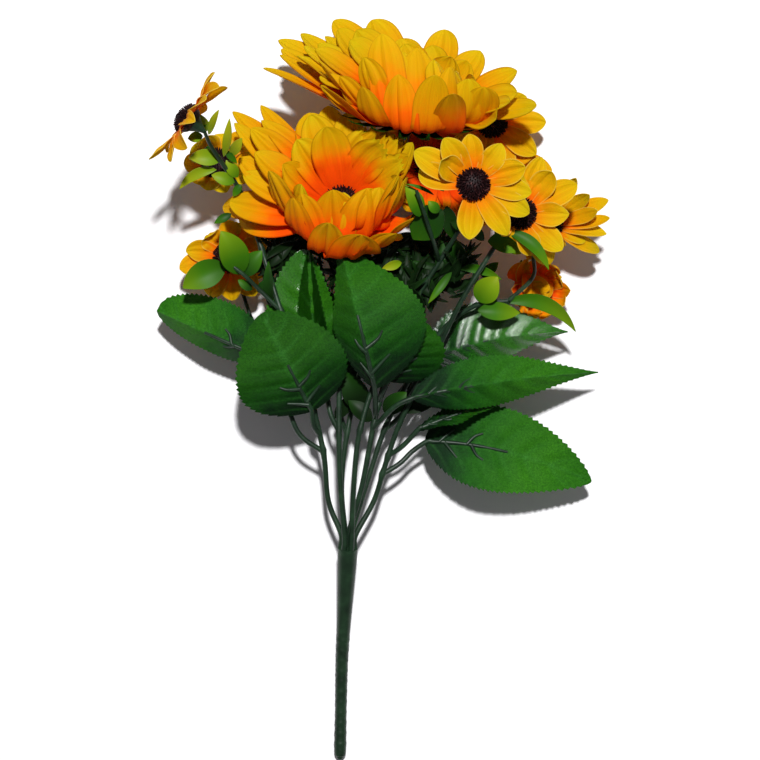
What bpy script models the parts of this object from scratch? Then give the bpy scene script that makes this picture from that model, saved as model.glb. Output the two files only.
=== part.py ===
"""An artificial sunflower bush lying on its back: seven moulded stems on one handle, twelve
fabric leaves, three large fabric blooms, eight small daisies and six masses of plastic foliage.

The handle's tip is at -Y, the blooms are at +Y and mostly face up, and the surface that the
bush lies on is z = 0. Lengths are in millimetres until add_solid scales them to metres, and
angles are in degrees.
"""

import math

import bmesh
import bpy
from mathutils import Matrix, Vector
from mathutils.bvhtree import BVHTree

MILLIMETRE = 0.001
UP = Vector((0.0, 0.0, 1.0))
SEAT_GAP = 0.5

# Main stem: centre points from the rounded tip to the fork, and the radius at each.
HANDLE_ROUTE = [(-20.2, -182.0, 3.1), (-20.1, -177.5, 3.1), (-19.7, -158.0, 4.9), (-19.1, -132.6, 8.6),
                (-18.0, -112.4, 13.2), (-16.4, -84.4, 21.6), (-16.0, -76.4, 24.4)]
HANDLE_RADII = [1.2, 3.1, 2.9, 3.1, 3.5, 4.8, 5.0]
HANDLE_SIDES = 12

# Stems: they leave the fork as one round bundle, one in the middle of six. The place is the
# angle round the bundle, then come the points on the way to the bloom or mass that it carries.
STEM_RADIUS = 1.3
STEM_SIDES = 8
BUNDLE_PITCH = 3.5
BUNDLE_RUN = 7.0
FORK_GAP = 0.7
STEMS = {
    "stem_1": (180, [(-25.4, -53.2, 27.5), (-27.7, -29.1, 33.0), (-35.9, 4.3, 38.5),
                     (-47.4, 37.1, 42.0), (-56.5, 66.0, 41.0), (-67.0, 90.0, 42.0),
                     (-76.5, 102.0, 48.0)], "foliage_far_left"),
    "stem_2": (120, [(-19.4, -46.0, 34.0), (-20.0, -19.4, 38.5), (-19.5, 28.0, 38.0),
                     (-17.8, 64.0, 26.0)], "bloom_left"),
    "stem_3": (240, [(-19.0, -46.0, 25.5), (-16.0, -19.6, 27.5), (-6.0, 28.0, 25.0),
                     (2.0, 72.0, 24.0), (6.0, 96.0, 27.0)], "bloom_top"),
    "stem_4": (60, [(-13.0, -46.0, 36.5), (-10.0, -19.6, 40.0), (-1.0, 8.0, 41.0)], "foliage_centre"),
    "stem_5": (None, [(-9.0, -46.0, 31.0), (-2.8, -13.7, 34.5), (8.0, 28.0, 31.0),
                      (15.0, 62.0, 16.0), (20.5, 86.0, 4.2)], "bloom_back"),
    "stem_6": (300, [(-7.0, -46.0, 25.0), (2.5, -17.5, 26.5), (16.2, 9.1, 29.5),
                     (31.0, 30.0, 37.0)], "foliage_low_right"),
    "stem_7": (0, [(-3.2, -53.3, 26.5), (2.0, -36.4, 30.0), (9.5, -15.1, 34.5),
                   (25.0, 15.5, 43.0), (38.0, 42.0, 53.0)], "foliage_under_daisy"),
}

# Leaves: the stem and the y where the petiole starts, the petiole's points, then the rib's
# base, middle and tip, half the width, the fold along the rib and the roll round it.
PETIOLE_RADIUS = 1.0
LEAF_THICKNESS = 1.5
LEAVES = {
    "leaf_1": ("stem_1", -30.0, [(-38.5, -22.0, 34.5), (-44.2, -9.5, 36.0)],
               [(-51.8, 10.0, 37.0), (-79.5, 31.0, 33.0), (-107.6, 44.0, 23.0)], 22.0, 35.0, 12.0),
    "leaf_2": ("stem_1", -22.0, [(-32.0, -17.0, 39.5)],
               [(-32.6, -10.4, 43.0), (-43.2, 10.7, 53.0), (-57.0, 36.5, 50.0)], 27.0, -8.0, 0.0),
    "leaf_3": ("stem_5", -14.0, [(-2.6, -9.0, 42.0)],
               [(-2.9, 0.0, 50.0), (-9.8, 31.0, 69.0), (-17.2, 59.5, 70.0)], 26.0, -16.0, -6.0),
    "leaf_4": ("stem_5", -6.0, [(1.0, -1.0, 42.0)],
               [(3.2, 4.0, 46.0), (13.0, 20.0, 55.0), (15.0, 34.5, 53.0)], 20.0, -16.0, 14.0),
    "leaf_5": ("stem_2", -20.0, [(-24.0, -12.0, 35.0)],
               [(-26.0, -2.0, 33.0), (-33.0, 30.4, 33.5), (-35.2, 66.0, 45.0)], 13.0, 60.0, -6.0),
    "leaf_6": ("stem_1", -24.0, [(-32.5, -14.0, 26.0)],
               [(-35.0, -2.0, 20.0), (-42.0, 30.8, 16.0), (-46.0, 60.5, 30.0)], 12.0, 24.0, -10.0),
    "leaf_7": ("stem_6", -12.0, [(12.5, -3.0, 24.5)],
               [(22.5, 13.6, 26.0), (51.6, 23.3, 35.0), (89.6, 27.4, 27.0)], 16.0, -38.0, 4.0),
    "leaf_8": ("stem_5", -19.0, [(4.0, -10.5, 43.5), (9.0, -6.6, 46.0)],
               [(14.9, -3.9, 47.0), (56.5, 2.9, 44.0), (104.5, 8.0, 23.5)], 14.0, -26.0, -4.0),
    "leaf_9": ("stem_7", -41.0, [(9.2, -35.6, 27.0), (15.0, -30.0, 26.0)],
               [(21.1, -25.3, 26.0), (59.3, -30.0, 27.0), (101.6, -44.9, 20.0)], 20.5, 10.0, -6.0),
    "leaf_10": ("stem_7", -32.0, [(10.5, -27.0, 34.0)],
                [(17.6, -19.6, 36.5), (37.8, -12.0, 35.0), (57.0, -7.0, 30.0)], 7.0, 10.0, -58.0),
    "leaf_11": ("stem_6", -20.0, [(9.0, -13.5, 21.0)],
                [(16.0, -5.0, 16.0), (33.0, 8.0, 9.0), (58.0, 18.0, 0.9)], 18.0, 8.0, -6.0),
    "leaf_12": ("stem_3", -22.0, [(-19.5, -13.0, 20.0)],
                [(-20.4, 0.0, 13.0), (-23.0, 22.0, 6.0), (-27.0, 48.0, 0.9)], 20.0, 8.0, 0.0),
}

# Flowers: the disc's centre and the way it faces. The petals' leans from the axis at their
# base and tip, and their lengths, go round the flower from its right side by its far side.
BLOOM = dict(petals=15, disc_radius=9.0, wall=3.0, shares=(0.3, 0.65, 1.0))
DAISY = dict(petals=9, disc_radius=7.8, wall=1.8, shares=(0.5, 1.0))
VALLEY = 0.84
RIM = 1.2
CALYX_DEPTH = 1.05
APPROACH = 4.0
FLOWERS = {
    "bloom_top": (BLOOM, (10.0, 127.0, 38.0), (0.15, 0.92, 0.36),
                  (82, 66, 58, 66, 80, 85, 88, 88), (68, 54, 48, 58, 66, 48, 20, 42),
                  (57, 60, 61, 67, 66, 60, 57, 56)),
    "bloom_left": (BLOOM, (-18.5, 87.4, 48.0), (-0.05, 0.45, 0.89),
                   (80, 68, 56, 44, 42, 56, 66, 80, 90, 98, 108, 114, 114, 106, 92),
                   (-5, -5, -5, -5, 5, 38, 55, 75, 88, 10, -50, -62, -62, -50, -22),
                   (50, 51, 52, 51, 50, 51, 63, 50, 58, 48, 56, 64, 64, 58, 52)),
    "bloom_back": (BLOOM, (25.5, 107.0, 14.7), (0.1, 0.25, 0.96),
                   (85,), (88,), (52, 20, 9, 12, 14, 18, 22, 34)),
    "daisy_centre": (DAISY, (41.4, 92.4, 88.0), (0.0, -0.1, 1.0), (80, 75, 65, 80), (84, 75, 60, 84),
                     (22, 20, 26, 22)),
    "daisy_right": (DAISY, (63.5, 81.0, 70.0), (0.25, -0.05, 0.96), (78,), (84,), (21, 21, 16, 21)),
    "daisy_far_right": (DAISY, (79.0, 79.2, 36.0), (0.4, 0.3, 0.86), (82,), (92,), (27, 24, 18, 26)),
    "daisy_back": (DAISY, (53.6, 129.0, 19.0), (0.1, -0.15, 0.98), (82, 96, 84, 80), (90, 100, 86, 82),
                   (21, 7, 20, 22)),
    "daisy_far_left": (DAISY, (-87.0, 122.5, 77.0), (-0.79, 0.6, 0.1), (80, 85, 75, 85),
                       (84, 88, 80, 84), (22,)),
    "daisy_low_left": (DAISY, (-72.5, 58.0, 21.0), (0.0, 0.1, 0.99), (80,), (92,), (20,)),
    "daisy_mid_left": (DAISY, (-78.5, 108.0, 26.5), (-0.3, 0.2, 0.93), (72,), (70,), (20,)),
    "daisy_low_right": (DAISY, (74.0, 47.5, 17.5), (0.25, -0.1, 0.96), (80,), (88,), (21,)),
}

# Masses of small plastic leaves: centre, long direction, then half length, width and height.
MASSES = {
    "foliage_far_left": ((-78.5, 109.5, 62.0), (-0.6, 0.72, 0.36), (14.0, 8.5, 6.5)),
    "foliage_low_left": ((-73.5, 61.5, 42.0), (-1.0, 0.15, 0.0), (15.0, 9.5, 5.0)),
    "foliage_centre": ((25.0, 56.0, 52.0), (0.55, 0.8, 0.2), (19.0, 14.0, 8.0)),
    "foliage_daisy": ((20.5, 80.5, 84.5), (0.2, 1.0, 0.2), (10.5, 6.5, 5.5)),
    "foliage_low_right": ((62.0, 41.0, 44.5), (1.0, -0.1, 0.0), (19.0, 9.0, 6.0)),
    "foliage_under_daisy": ((57.5, 67.0, 57.0), (1.0, -0.1, 0.1), (11.0, 7.0, 4.5)),
}

# Side shoots: what each starts on and the y there (None for a mass), its points on the way,
# and the daisy or mass that it carries.
SHOOT_RADIUS = 1.0
SHOOT_SIDES = 6
SLIM_END = 0.45
SHOOTS = {
    "shoot_centre": ("foliage_centre", None, [(38.0, 78.0, 64.0)], "daisy_centre"),
    "shoot_right": ("foliage_under_daisy", None, [(59.5, 75.5, 55.0)], "daisy_right"),
    "shoot_far_right": ("foliage_low_right", None, [(72.0, 53.0, 38.0), (73.0, 64.0, 28.0)],
                        "daisy_far_right"),
    "shoot_back": ("stem_5", 56.0, [(33.0, 80.0, 5.0), (49.0, 108.0, 2.5)], "daisy_back"),
    "shoot_far_left": ("foliage_far_left", None, [(-79.5, 113.5, 73.0)], "daisy_far_left"),
    "shoot_low_left": ("stem_1", -9.0, [(-47.0, 3.0, 21.0), (-61.0, 28.0, 6.0), (-69.0, 50.0, 2.5)],
                       "daisy_low_left"),
    "shoot_mid_left": ("stem_1", 66.0, [(-64.0, 84.0, 27.0), (-71.0, 100.0, 14.0)], "daisy_mid_left"),
    "shoot_low_right": ("stem_6", -4.0, [(22.0, 14.0, 16.0), (44.0, 33.0, 7.0), (64.0, 43.0, 2.5)],
                        "daisy_low_right"),
    "shoot_leafy_left": ("stem_1", 36.0, [(-58.0, 47.5, 41.0)], "foliage_low_left"),
    "shoot_leafy_centre": ("foliage_centre", None, [(24.0, 68.0, 69.0)], "foliage_daisy"),
}


def clear_scene():
    for scene_object in list(bpy.data.objects):
        bpy.data.objects.remove(scene_object, do_unlink=True)


def plain_material(name, colour, roughness):
    material = bpy.data.materials.new(name)
    material.use_nodes = True
    shader = material.node_tree.nodes["Principled BSDF"]
    shader.inputs["Base Color"].default_value = (*colour, 1.0)
    shader.inputs["Roughness"].default_value = roughness
    shader.inputs["Metallic"].default_value = 0.0
    return material


def add_solid(name, rings, material):
    """Skins a row of equal rings into one closed body, with a flat face at each end."""
    mesh = bpy.data.meshes.new(name)
    model = bmesh.new()
    rows = [[model.verts.new(point * MILLIMETRE) for point in ring] for ring in rings]
    count = len(rings[0])
    for row, following in zip(rows, rows[1:]):
        for index in range(count):
            after = (index + 1) % count
            model.faces.new((row[index], row[after], following[after], following[index]))
    model.faces.new(rows[0])
    model.faces.new(rows[-1])
    bmesh.ops.triangulate(model, faces=model.faces)
    bmesh.ops.recalc_face_normals(model, faces=model.faces)
    model.to_mesh(mesh)
    model.free()
    mesh.materials.append(material)
    mesh.shade_smooth()
    solid = bpy.data.objects.new(name, mesh)
    bpy.context.collection.objects.link(solid)
    return solid


def seat(carrier, outside, inside, reach):
    """The start just off a carrier, on the way to it from outside, of a limb with that end radius."""
    points = [vertex.co / MILLIMETRE for vertex in carrier.data.vertices]
    faces = [tuple(face.vertices) for face in carrier.data.polygons]
    way = (inside - outside).normalized()
    surface, normal = BVHTree.FromPolygons(points, faces).ray_cast(outside, way)[:2]
    slant = math.sqrt(max(1.0 - way.dot(normal) ** 2, 0.0))
    return surface + normal * (SEAT_GAP + reach * slant)


def smooth_route(points, steps):
    """Samples a Catmull-Rom curve through the points, with the given steps to each span."""
    points = [Vector(point) for point in points]
    padded = [points[0] * 2 - points[1], *points, points[-1] * 2 - points[-2]]
    route = []
    for span in range(len(points) - 1):
        a, b, c, d = padded[span:span + 4]
        for step in range(steps):
            t = step / steps
            route.append(0.5 * (2 * b + (c - a) * t + (2 * a - 5 * b + 4 * c - d) * t ** 2
                                + (3 * b - a - 3 * c + d) * t ** 3))
    route.append(points[-1])
    return route


def point_at(route, y):
    """The point where a route first passes the given y."""
    for before, after in zip(route, route[1:]):
        if before.y <= y <= after.y:
            return before.lerp(after, (y - before.y) / (after.y - before.y))
    return route[-1]


def route_directions(route):
    """The unit direction at each point of a route."""
    last = len(route) - 1
    return [(route[min(index + 1, last)] - route[max(index - 1, 0)]).normalized()
            for index in range(len(route))]


def tube_rings(route, radii, sides):
    """Rings square to the route, carried along it without twist."""
    directions = route_directions(route)
    across = directions[0].cross(UP).normalized()
    rings = []
    for centre, direction, radius in zip(route, directions, radii):
        across = (across - direction * across.dot(direction)).normalized()
        above = across.cross(direction)
        rings.append([centre + radius * (math.cos(angle) * across + math.sin(angle) * above)
                      for angle in (math.tau * side / sides for side in range(sides))])
    return rings


def main_stem(material):
    """The moulded handle: a rounded tip, then an even taper up to the fork."""
    route = [Vector(point) for point in HANDLE_ROUTE]
    return add_solid("main_stem", tube_rings(route, HANDLE_RADII, HANDLE_SIDES), material)


def stem_route(place, waypoints, end):
    """The way from one place in the bundle at the fork, by the waypoints, to the end."""
    fork = Vector(HANDLE_ROUTE[-1])
    forward = (fork - Vector(HANDLE_ROUTE[-2])).normalized()
    across = forward.cross(UP).normalized()
    above = across.cross(forward)
    offset = Vector()
    if place is not None:
        angle = math.radians(place)
        offset = BUNDLE_PITCH * (math.cos(angle) * across + math.sin(angle) * above)
    start = fork + offset + forward * FORK_GAP
    return smooth_route([start, start + forward * BUNDLE_RUN, *waypoints, *end], 2)


def stem(name, route, material):
    """One long moulded stem with a slight taper and a slim end."""
    last = len(route) - 1
    radii = [STEM_RADIUS * (1.0 - 0.15 * index / last) for index in range(len(route))]
    radii[-1] = STEM_RADIUS * SLIM_END
    return add_solid(name, tube_rings(route, radii, STEM_SIDES), material)


def shoot(name, route, material):
    """A thin side shoot with slim ends, so that it seats against what carries it."""
    radii = [SHOOT_RADIUS] * len(route)
    radii[0] = radii[-1] = SHOOT_RADIUS * SLIM_END
    return add_solid(name, tube_rings(route, radii, SHOOT_SIDES), material)


def leaf(name, petiole, rib, half_width, fold, roll, material):
    """A fabric leaf with its petiole: a thin blade with a fold along its rib."""
    base, middle, tip = (Vector(point) for point in rib)
    bend = 2 * middle - (base + tip) / 2
    shares = (0.0, 0.12, 0.3, 0.52, 0.76, 0.92, 1.0)
    blade = [base * (1 - s) ** 2 + bend * (2 * s * (1 - s)) + tip * s ** 2 for s in shares]
    widths = [half_width * (math.sin(math.pi * s ** 0.8) ** 0.75 + 0.03) for s in shares[1:]]
    folds = [fold] * len(widths)
    stalk = [Vector(point) for point in petiole]
    route = [*stalk, *blade]
    reaches = [PETIOLE_RADIUS * SLIM_END] + [PETIOLE_RADIUS] * len(stalk) + widths
    leans = [0.0] * (len(stalk) + 1) + folds
    depths = [2 * reach for reach in reaches[:-len(widths)]] + [LEAF_THICKNESS] * len(widths)
    rings = []
    sections = zip(route, route_directions(route), reaches, leans, depths)
    for centre, direction, reach, lean, depth in sections:
        twist = Matrix.Rotation(math.radians(roll), 3, direction)
        across = twist @ direction.cross(UP).normalized()
        above = across.cross(direction)
        tilt = math.radians(lean)

        def section_point(column, side):
            spread = across * (column * math.cos(tilt)) + above * (abs(column) * math.sin(tilt))
            return centre + spread * reach + above * (side * depth / 2 * math.sqrt(1.0 - column ** 2))

        upper = [section_point(column, 1.0) for column in (-1.0, -0.5, 0.0, 0.5, 1.0)]
        lower = [section_point(column, -1.0) for column in (0.5, 0.0, -0.5)]
        rings.append(upper + lower)
    return add_solid(name, rings, material)


def around(values, angle):
    """Blends evenly spaced values round a circle, with the first one at angle 0."""
    turn = angle / math.tau * len(values) % len(values)
    index = int(turn)
    share = 0.5 - 0.5 * math.cos(math.pi * (turn - index))
    return values[index] * (1.0 - share) + values[(index + 1) % len(values)] * share


def calyx_approach(kind, centre, axis):
    """The last two points of a flower's stem, in line with its axis and just off its calyx."""
    facing = Vector(axis).normalized()
    foot = Vector(centre) - facing * (kind["disc_radius"] * CALYX_DEPTH + SEAT_GAP)
    return [foot - facing * APPROACH, foot]


def flower(name, kind, centre, axis, base_leans, tip_leans, reaches, material):
    """A closed cup with one scallop to each petal, a domed disc inside and a calyx under it."""
    middle = Vector(centre)
    facing = Vector(axis).normalized()
    right = (Vector((1.0, 0.0, 0.0)) - facing * facing.x).normalized()
    far = facing.cross(right)
    radius, wall = kind["disc_radius"], kind["wall"]
    angles = [math.tau * index / (2 * kind["petals"]) for index in range(2 * kind["petals"])]

    def petal_point(index, share, lift):
        angle = angles[index]
        outward = math.cos(angle) * right + math.sin(angle) * far
        reach = around(reaches, angle) * (1.0 if index % 2 == 0 else VALLEY)
        point = middle + outward * (0.6 * radius)
        parts = 12
        for part in range(parts):
            along = share * (part + 0.5) / parts
            lean = math.radians(around(base_leans, angle) * (1 - along) + around(tip_leans, angle) * along)
            way = facing * math.cos(lean) + outward * math.sin(lean)
            point += way * (reach * share / parts)
        point += (facing * math.sin(lean) - outward * math.cos(lean)) * lift
        return Vector((point.x, point.y, max(point.z, lift + abs(lift))))

    def petal_ring(share, lift):
        return [petal_point(index, share, lift) for index in range(len(angles))]

    def plain_ring(size, height):
        return [middle + facing * height + size * (math.cos(angle) * right + math.sin(angle) * far)
                for angle in angles]

    shares = kind["shares"]
    rings = [plain_ring(0.3 * radius, -CALYX_DEPTH * radius), plain_ring(0.7 * radius, -0.45 * radius)]
    rings += [petal_ring(share, -wall / 2) for share in shares[:-1]]
    rings += [petal_ring(shares[-1], -RIM / 2), petal_ring(shares[-1], RIM / 2)]
    rings += [petal_ring(share, wall / 2) for share in shares[-2::-1]]
    rings += [plain_ring(radius, 0.25 * radius), plain_ring(0.6 * radius, 0.65 * radius)]
    return add_solid(name, rings, material)


def foliage_mass(name, centre, along, radii, phase, material):
    """A lumpy closed body, longest along one direction."""
    middle = Vector(centre)
    forward = Vector(along).normalized()
    across = forward.cross(UP).normalized()
    above = across.cross(forward)
    length, width, height = radii
    columns, rows = 12, 7
    rings = []
    for row in range(rows + 1):
        polar = math.pi * (0.04 + 0.92 * row / rows)
        ring = []
        for column in range(columns):
            angle = math.tau * column / columns
            lump = 0.13 * math.sin(3 * angle + 2.1 * row + phase) - 0.08 * math.sin(5 * angle - 1.7 * row)
            girth = (1.0 + lump) * math.sin(polar)
            sideways = across * (width * girth * math.cos(angle))
            upward = above * (height * girth * math.sin(angle))
            ring.append(middle - forward * (length * math.cos(polar)) + sideways + upward)
        rings.append(ring)
    return add_solid(name, rings, material)


def build():
    clear_scene()
    dark_plastic = plain_material("dark_green_polyethylene", (0.012, 0.042, 0.014), 0.55)
    leaf_fabric = plain_material("green_leaf_fabric", (0.024, 0.16, 0.02), 0.6)
    petal_fabric = plain_material("yellow_petal_fabric", (0.84, 0.42, 0.0), 0.65)
    foliage_plastic = plain_material("light_green_polyethylene", (0.1, 0.28, 0.012), 0.5)

    solids, routes = {}, {}
    for name, (kind, centre, axis, *petals) in FLOWERS.items():
        solids[name] = flower(name, kind, centre, axis, *petals, petal_fabric)
    for phase, (name, (centre, along, radii)) in enumerate(MASSES.items()):
        solids[name] = foliage_mass(name, centre, along, radii, phase, foliage_plastic)

    def end_at(carried, before):
        """The last points of a limb that comes from before: straight up a calyx, or to a mass."""
        if carried in FLOWERS:
            return calyx_approach(*FLOWERS[carried][:3])
        return [seat(solids[carried], before, Vector(MASSES[carried][0]), STEM_RADIUS * SLIM_END)]

    main_stem(dark_plastic)
    for name, (place, waypoints, carried) in STEMS.items():
        end = end_at(carried, Vector(waypoints[-1]))
        routes[name] = stem_route(place, waypoints, end)
        solids[name] = stem(name, routes[name], dark_plastic)

    for name, (carrier, y, petiole, rib, half_width, fold, roll) in LEAVES.items():
        inside = point_at(routes[carrier], y)
        start = seat(solids[carrier], Vector(petiole[0]), inside, PETIOLE_RADIUS * SLIM_END)
        leaf(name, [start, *petiole], rib, half_width, fold, roll, leaf_fabric)

    for name, (carrier, y, waypoints, carried) in SHOOTS.items():
        inside = Vector(MASSES[carrier][0]) if y is None else point_at(routes[carrier], y)
        start = seat(solids[carrier], Vector(waypoints[0]), inside, SHOOT_RADIUS * SLIM_END)
        end = end_at(carried, Vector(waypoints[-1]))
        shoot(name, smooth_route([start, *waypoints, *end], 2), dark_plastic)


build()
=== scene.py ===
"""The looks of an artificial sunflower bush that lies on a pale sheet: cloth petals and leaves,
moulded polyethylene stems and sprigs, and bristled flower centres. Places are in millimetres, as
in the CAD, and each mesh is made in metres.
"""

import math

import bpy
import numpy as np
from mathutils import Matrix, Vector


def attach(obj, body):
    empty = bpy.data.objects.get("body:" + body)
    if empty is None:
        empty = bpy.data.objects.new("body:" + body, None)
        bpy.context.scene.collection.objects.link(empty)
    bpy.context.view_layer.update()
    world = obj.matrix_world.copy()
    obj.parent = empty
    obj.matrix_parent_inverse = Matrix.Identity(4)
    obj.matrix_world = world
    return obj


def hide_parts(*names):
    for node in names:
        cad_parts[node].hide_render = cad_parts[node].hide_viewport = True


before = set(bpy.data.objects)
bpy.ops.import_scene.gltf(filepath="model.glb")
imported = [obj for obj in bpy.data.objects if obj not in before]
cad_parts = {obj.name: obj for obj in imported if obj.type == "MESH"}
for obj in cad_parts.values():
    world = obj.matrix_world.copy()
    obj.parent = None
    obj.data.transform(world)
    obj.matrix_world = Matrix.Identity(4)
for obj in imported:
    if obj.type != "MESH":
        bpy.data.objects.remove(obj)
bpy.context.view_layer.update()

# Studio: a white sheet on a table, a small lamp high beyond the blooms and a pale even room. The
# camera looks straight down at the sheet. These sizes are in metres.
CAMERA_PLACE = (-0.0005, 0.0043, 1.0)
CAMERA_FOCAL_MM = 96.0
CAMERA_SENSOR_MM = 36.0
LAMP_WAY = Vector((0.03, 0.36, 1.0)).normalized()
LAMP_DISTANCE = 1.6
LAMP_SIZE = 0.1
LAMP_WATTS = 32.0
ROOM_STRENGTH = 0.15
SHEET_SIZE = 6.0
SHEET_DROP = 0.0003


def linear(code):
    """An sRGB hex colour as linear RGBA."""
    parts = [int(code[start:start + 2], 16) / 255 for start in (0, 2, 4)]
    return (*[p / 12.92 if p <= 0.04045 else ((p + 0.055) / 1.055) ** 2.4 for p in parts], 1.0)


def feed(node, links):
    """Links each socket to the node's input of that name or number."""
    for key, socket in links.items():
        node.id_data.links.new(socket, node.inputs[key])


def add_node(material, kind, settings=None, links=None, output=0):
    """Adds a node to a material, and returns the named or numbered one of its outputs.

    settings are the node's own values, its sockets' values or its ramp's stops.
    """
    node = material.node_tree.nodes.new(f"ShaderNode{kind}")
    for key, value in (settings or {}).items():
        if key == "stops":
            while len(node.color_ramp.elements) < len(value):
                node.color_ramp.elements.new(1.0)
            for stop, (place, code) in zip(node.color_ramp.elements, value):
                stop.position = place
                stop.color = linear(code)
        elif isinstance(key, str) and hasattr(node, key):
            setattr(node, key, value)
        else:
            node.inputs[key].default_value = value
    feed(node, links or {})
    return node.outputs[output]


def new_material(name, settings):
    """A material with one Principled shader, and that shader."""
    material = bpy.data.materials.new(name)
    material.use_nodes = True
    shader = material.node_tree.nodes["Principled BSDF"]
    for key, value in settings.items():
        shader.inputs[key].default_value = value
    return material, shader


def deselect():
    for scene_object in bpy.context.selected_objects:
        scene_object.select_set(False)


camera_data = bpy.data.cameras.new("camera")
camera_data.lens = CAMERA_FOCAL_MM
camera_data.sensor_width = CAMERA_SENSOR_MM
camera_data.clip_start = 0.05
camera = bpy.data.objects.new("camera", camera_data)
camera.location = CAMERA_PLACE
bpy.context.collection.objects.link(camera)
bpy.context.scene.camera = camera

lamp_data = bpy.data.lights.new("lamp", "AREA")
lamp_data.shape = "DISK"
lamp_data.size = LAMP_SIZE
lamp_data.energy = LAMP_WATTS
lamp = bpy.data.objects.new("lamp", lamp_data)
lamp.location = LAMP_WAY * LAMP_DISTANCE
lamp.rotation_euler = LAMP_WAY.to_track_quat("Z", "Y").to_euler()
bpy.context.collection.objects.link(lamp)

world = bpy.data.worlds.new("pale_room")
world.use_nodes = True
world.node_tree.nodes["Background"].inputs["Color"].default_value = linear("F4F2F6")
world.node_tree.nodes["Background"].inputs["Strength"].default_value = ROOM_STRENGTH
bpy.context.scene.world = world
bpy.context.scene.view_settings.view_transform = "Standard"

deselect()
bpy.ops.mesh.primitive_plane_add(size=SHEET_SIZE, location=(0.0, 0.0, -SHEET_DROP))
sheet = bpy.context.active_object
sheet.name = "studio_sheet"
sheet_white, _ = new_material("matte_white_sheet",
                              {"Roughness": 0.9, "Base Color": linear("F6F5F7")})
sheet.data.materials.append(sheet_white)


# Handle and stems: polyethylene moulded round steel wire. The mould leaves rings round the
# handle and a swelling where a stem forks, and the plastic has a dull waxy sheen.
MILLIMETRE = 0.001
UP = Vector((0.0, 0.0, 1.0))


def smooth_route(points, steps):
    """Samples a Catmull-Rom curve through the points, with the given steps to each span."""
    points = [Vector(point) for point in points]
    padded = [points[0] * 2 - points[1], *points, points[-1] * 2 - points[-2]]
    route = []
    for span in range(len(points) - 1):
        a, b, c, d = padded[span:span + 4]
        for step in range(steps):
            t = step / steps
            route.append(0.5 * (2 * b + (c - a) * t + (2 * a - 5 * b + 4 * c - d) * t ** 2
                                + (3 * b - a - 3 * c + d) * t ** 3))
    route.append(points[-1])
    return route


def tube(name, routes, sides):
    """Moulded rods: each route is (points, radii), swept as a round curve and made a mesh."""
    deselect()
    bpy.ops.curve.primitive_nurbs_path_add(radius=1.0)
    rod = bpy.context.active_object
    rod.name = name
    curve = rod.data
    curve.splines.clear()
    curve.bevel_depth = MILLIMETRE
    curve.bevel_resolution = (sides - 4) // 2
    curve.use_fill_caps = True
    for points, radii in routes:
        spline = curve.splines.new("POLY")
        spline.points.add(len(points) - 1)
        for knot, point, radius in zip(spline.points, points, radii):
            knot.co = (*(Vector(point) * MILLIMETRE), 1.0)
            knot.radius = radius
    bpy.ops.object.convert(target="MESH")
    bpy.ops.object.mode_set(mode="EDIT")
    bpy.ops.mesh.select_all(action="SELECT")
    bpy.ops.mesh.normals_make_consistent(inside=False)
    bpy.ops.object.mode_set(mode="OBJECT")
    bpy.ops.object.shade_smooth_by_angle(angle=math.radians(50))
    rod.select_set(False)
    return rod


def finish_piece(piece, material, node):
    """Gives a piece its material, and puts it on the bush in place of the CAD node."""
    piece.data.materials.clear()
    piece.data.materials.append(material)
    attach(piece, "root")
    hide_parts(node)


# Dark green polyethylene, moulded: low waxy gloss, faint flow marks some 6 mm across and a grain of
# about 1 mm.
stem_green, shader = new_material("dark_green_polyethylene",
                                  {"Roughness": 0.42, "Specular IOR Level": 0.3})
place = add_node(stem_green, "TexCoord", output="Object")
mottle = add_node(stem_green, "TexNoise", {"Scale": 160.0, "Detail": 4.0}, {"Vector": place})
colours = add_node(stem_green, "ValToRGB",
                   {"stops": [(0.3, "122316"), (0.55, "1A301E"), (0.75, "243E28")]},
                   {"Fac": mottle})
grain = add_node(stem_green, "TexNoise", {"Scale": 900.0, "Detail": 2.0}, {"Vector": place})
bump = add_node(stem_green, "Bump", {"Strength": 0.25, "Distance": 0.0004}, {"Height": grain})
feed(shader, {"Base Color": colours, "Normal": bump})

HANDLE_ROUTE = [(-20.2, -182, 3.1), (-20.1, -177.5, 3.1), (-19.7, -158, 4.9), (-19.1, -132.6, 8.6),
                (-18, -112.4, 13.2), (-16.4, -84.4, 21.6), (-16, -76.4, 24.4)]
# The handle's radius at each y.
HANDLE_RADII = [(-182, 1.4), (-180.5, 2.5), (-177.5, 3), (-158, 2.8), (-132.6, 3), (-112.4, 3.4),
                (-84.4, 4.6), (-76.4, 4.9)]
RING_PITCH = 5.2
RING_RISE = 0.07
RING_END = -118.0
handle_points = smooth_route(HANDLE_ROUTE, 40)
ys, sizes = zip(*HANDLE_RADII)
handle_radii = []
for point in handle_points:
    radius = float(np.interp(point.y, ys, sizes))
    if point.y < RING_END:
        wave = (point.y % RING_PITCH) / RING_PITCH
        radius *= 1.0 + RING_RISE * math.exp(-((wave - 0.5) / 0.2) ** 2) - 0.02
    handle_radii.append(radius)
handle = tube("main_stem_moulded", [(handle_points, handle_radii)], 20)
finish_piece(handle, stem_green, "main_stem")

STEM_RADIUS = 1.3
BUNDLE_PITCH = 3.5
BUNDLE_RUN = 7.0
BUNDLE_ROOT = 9.0
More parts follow.
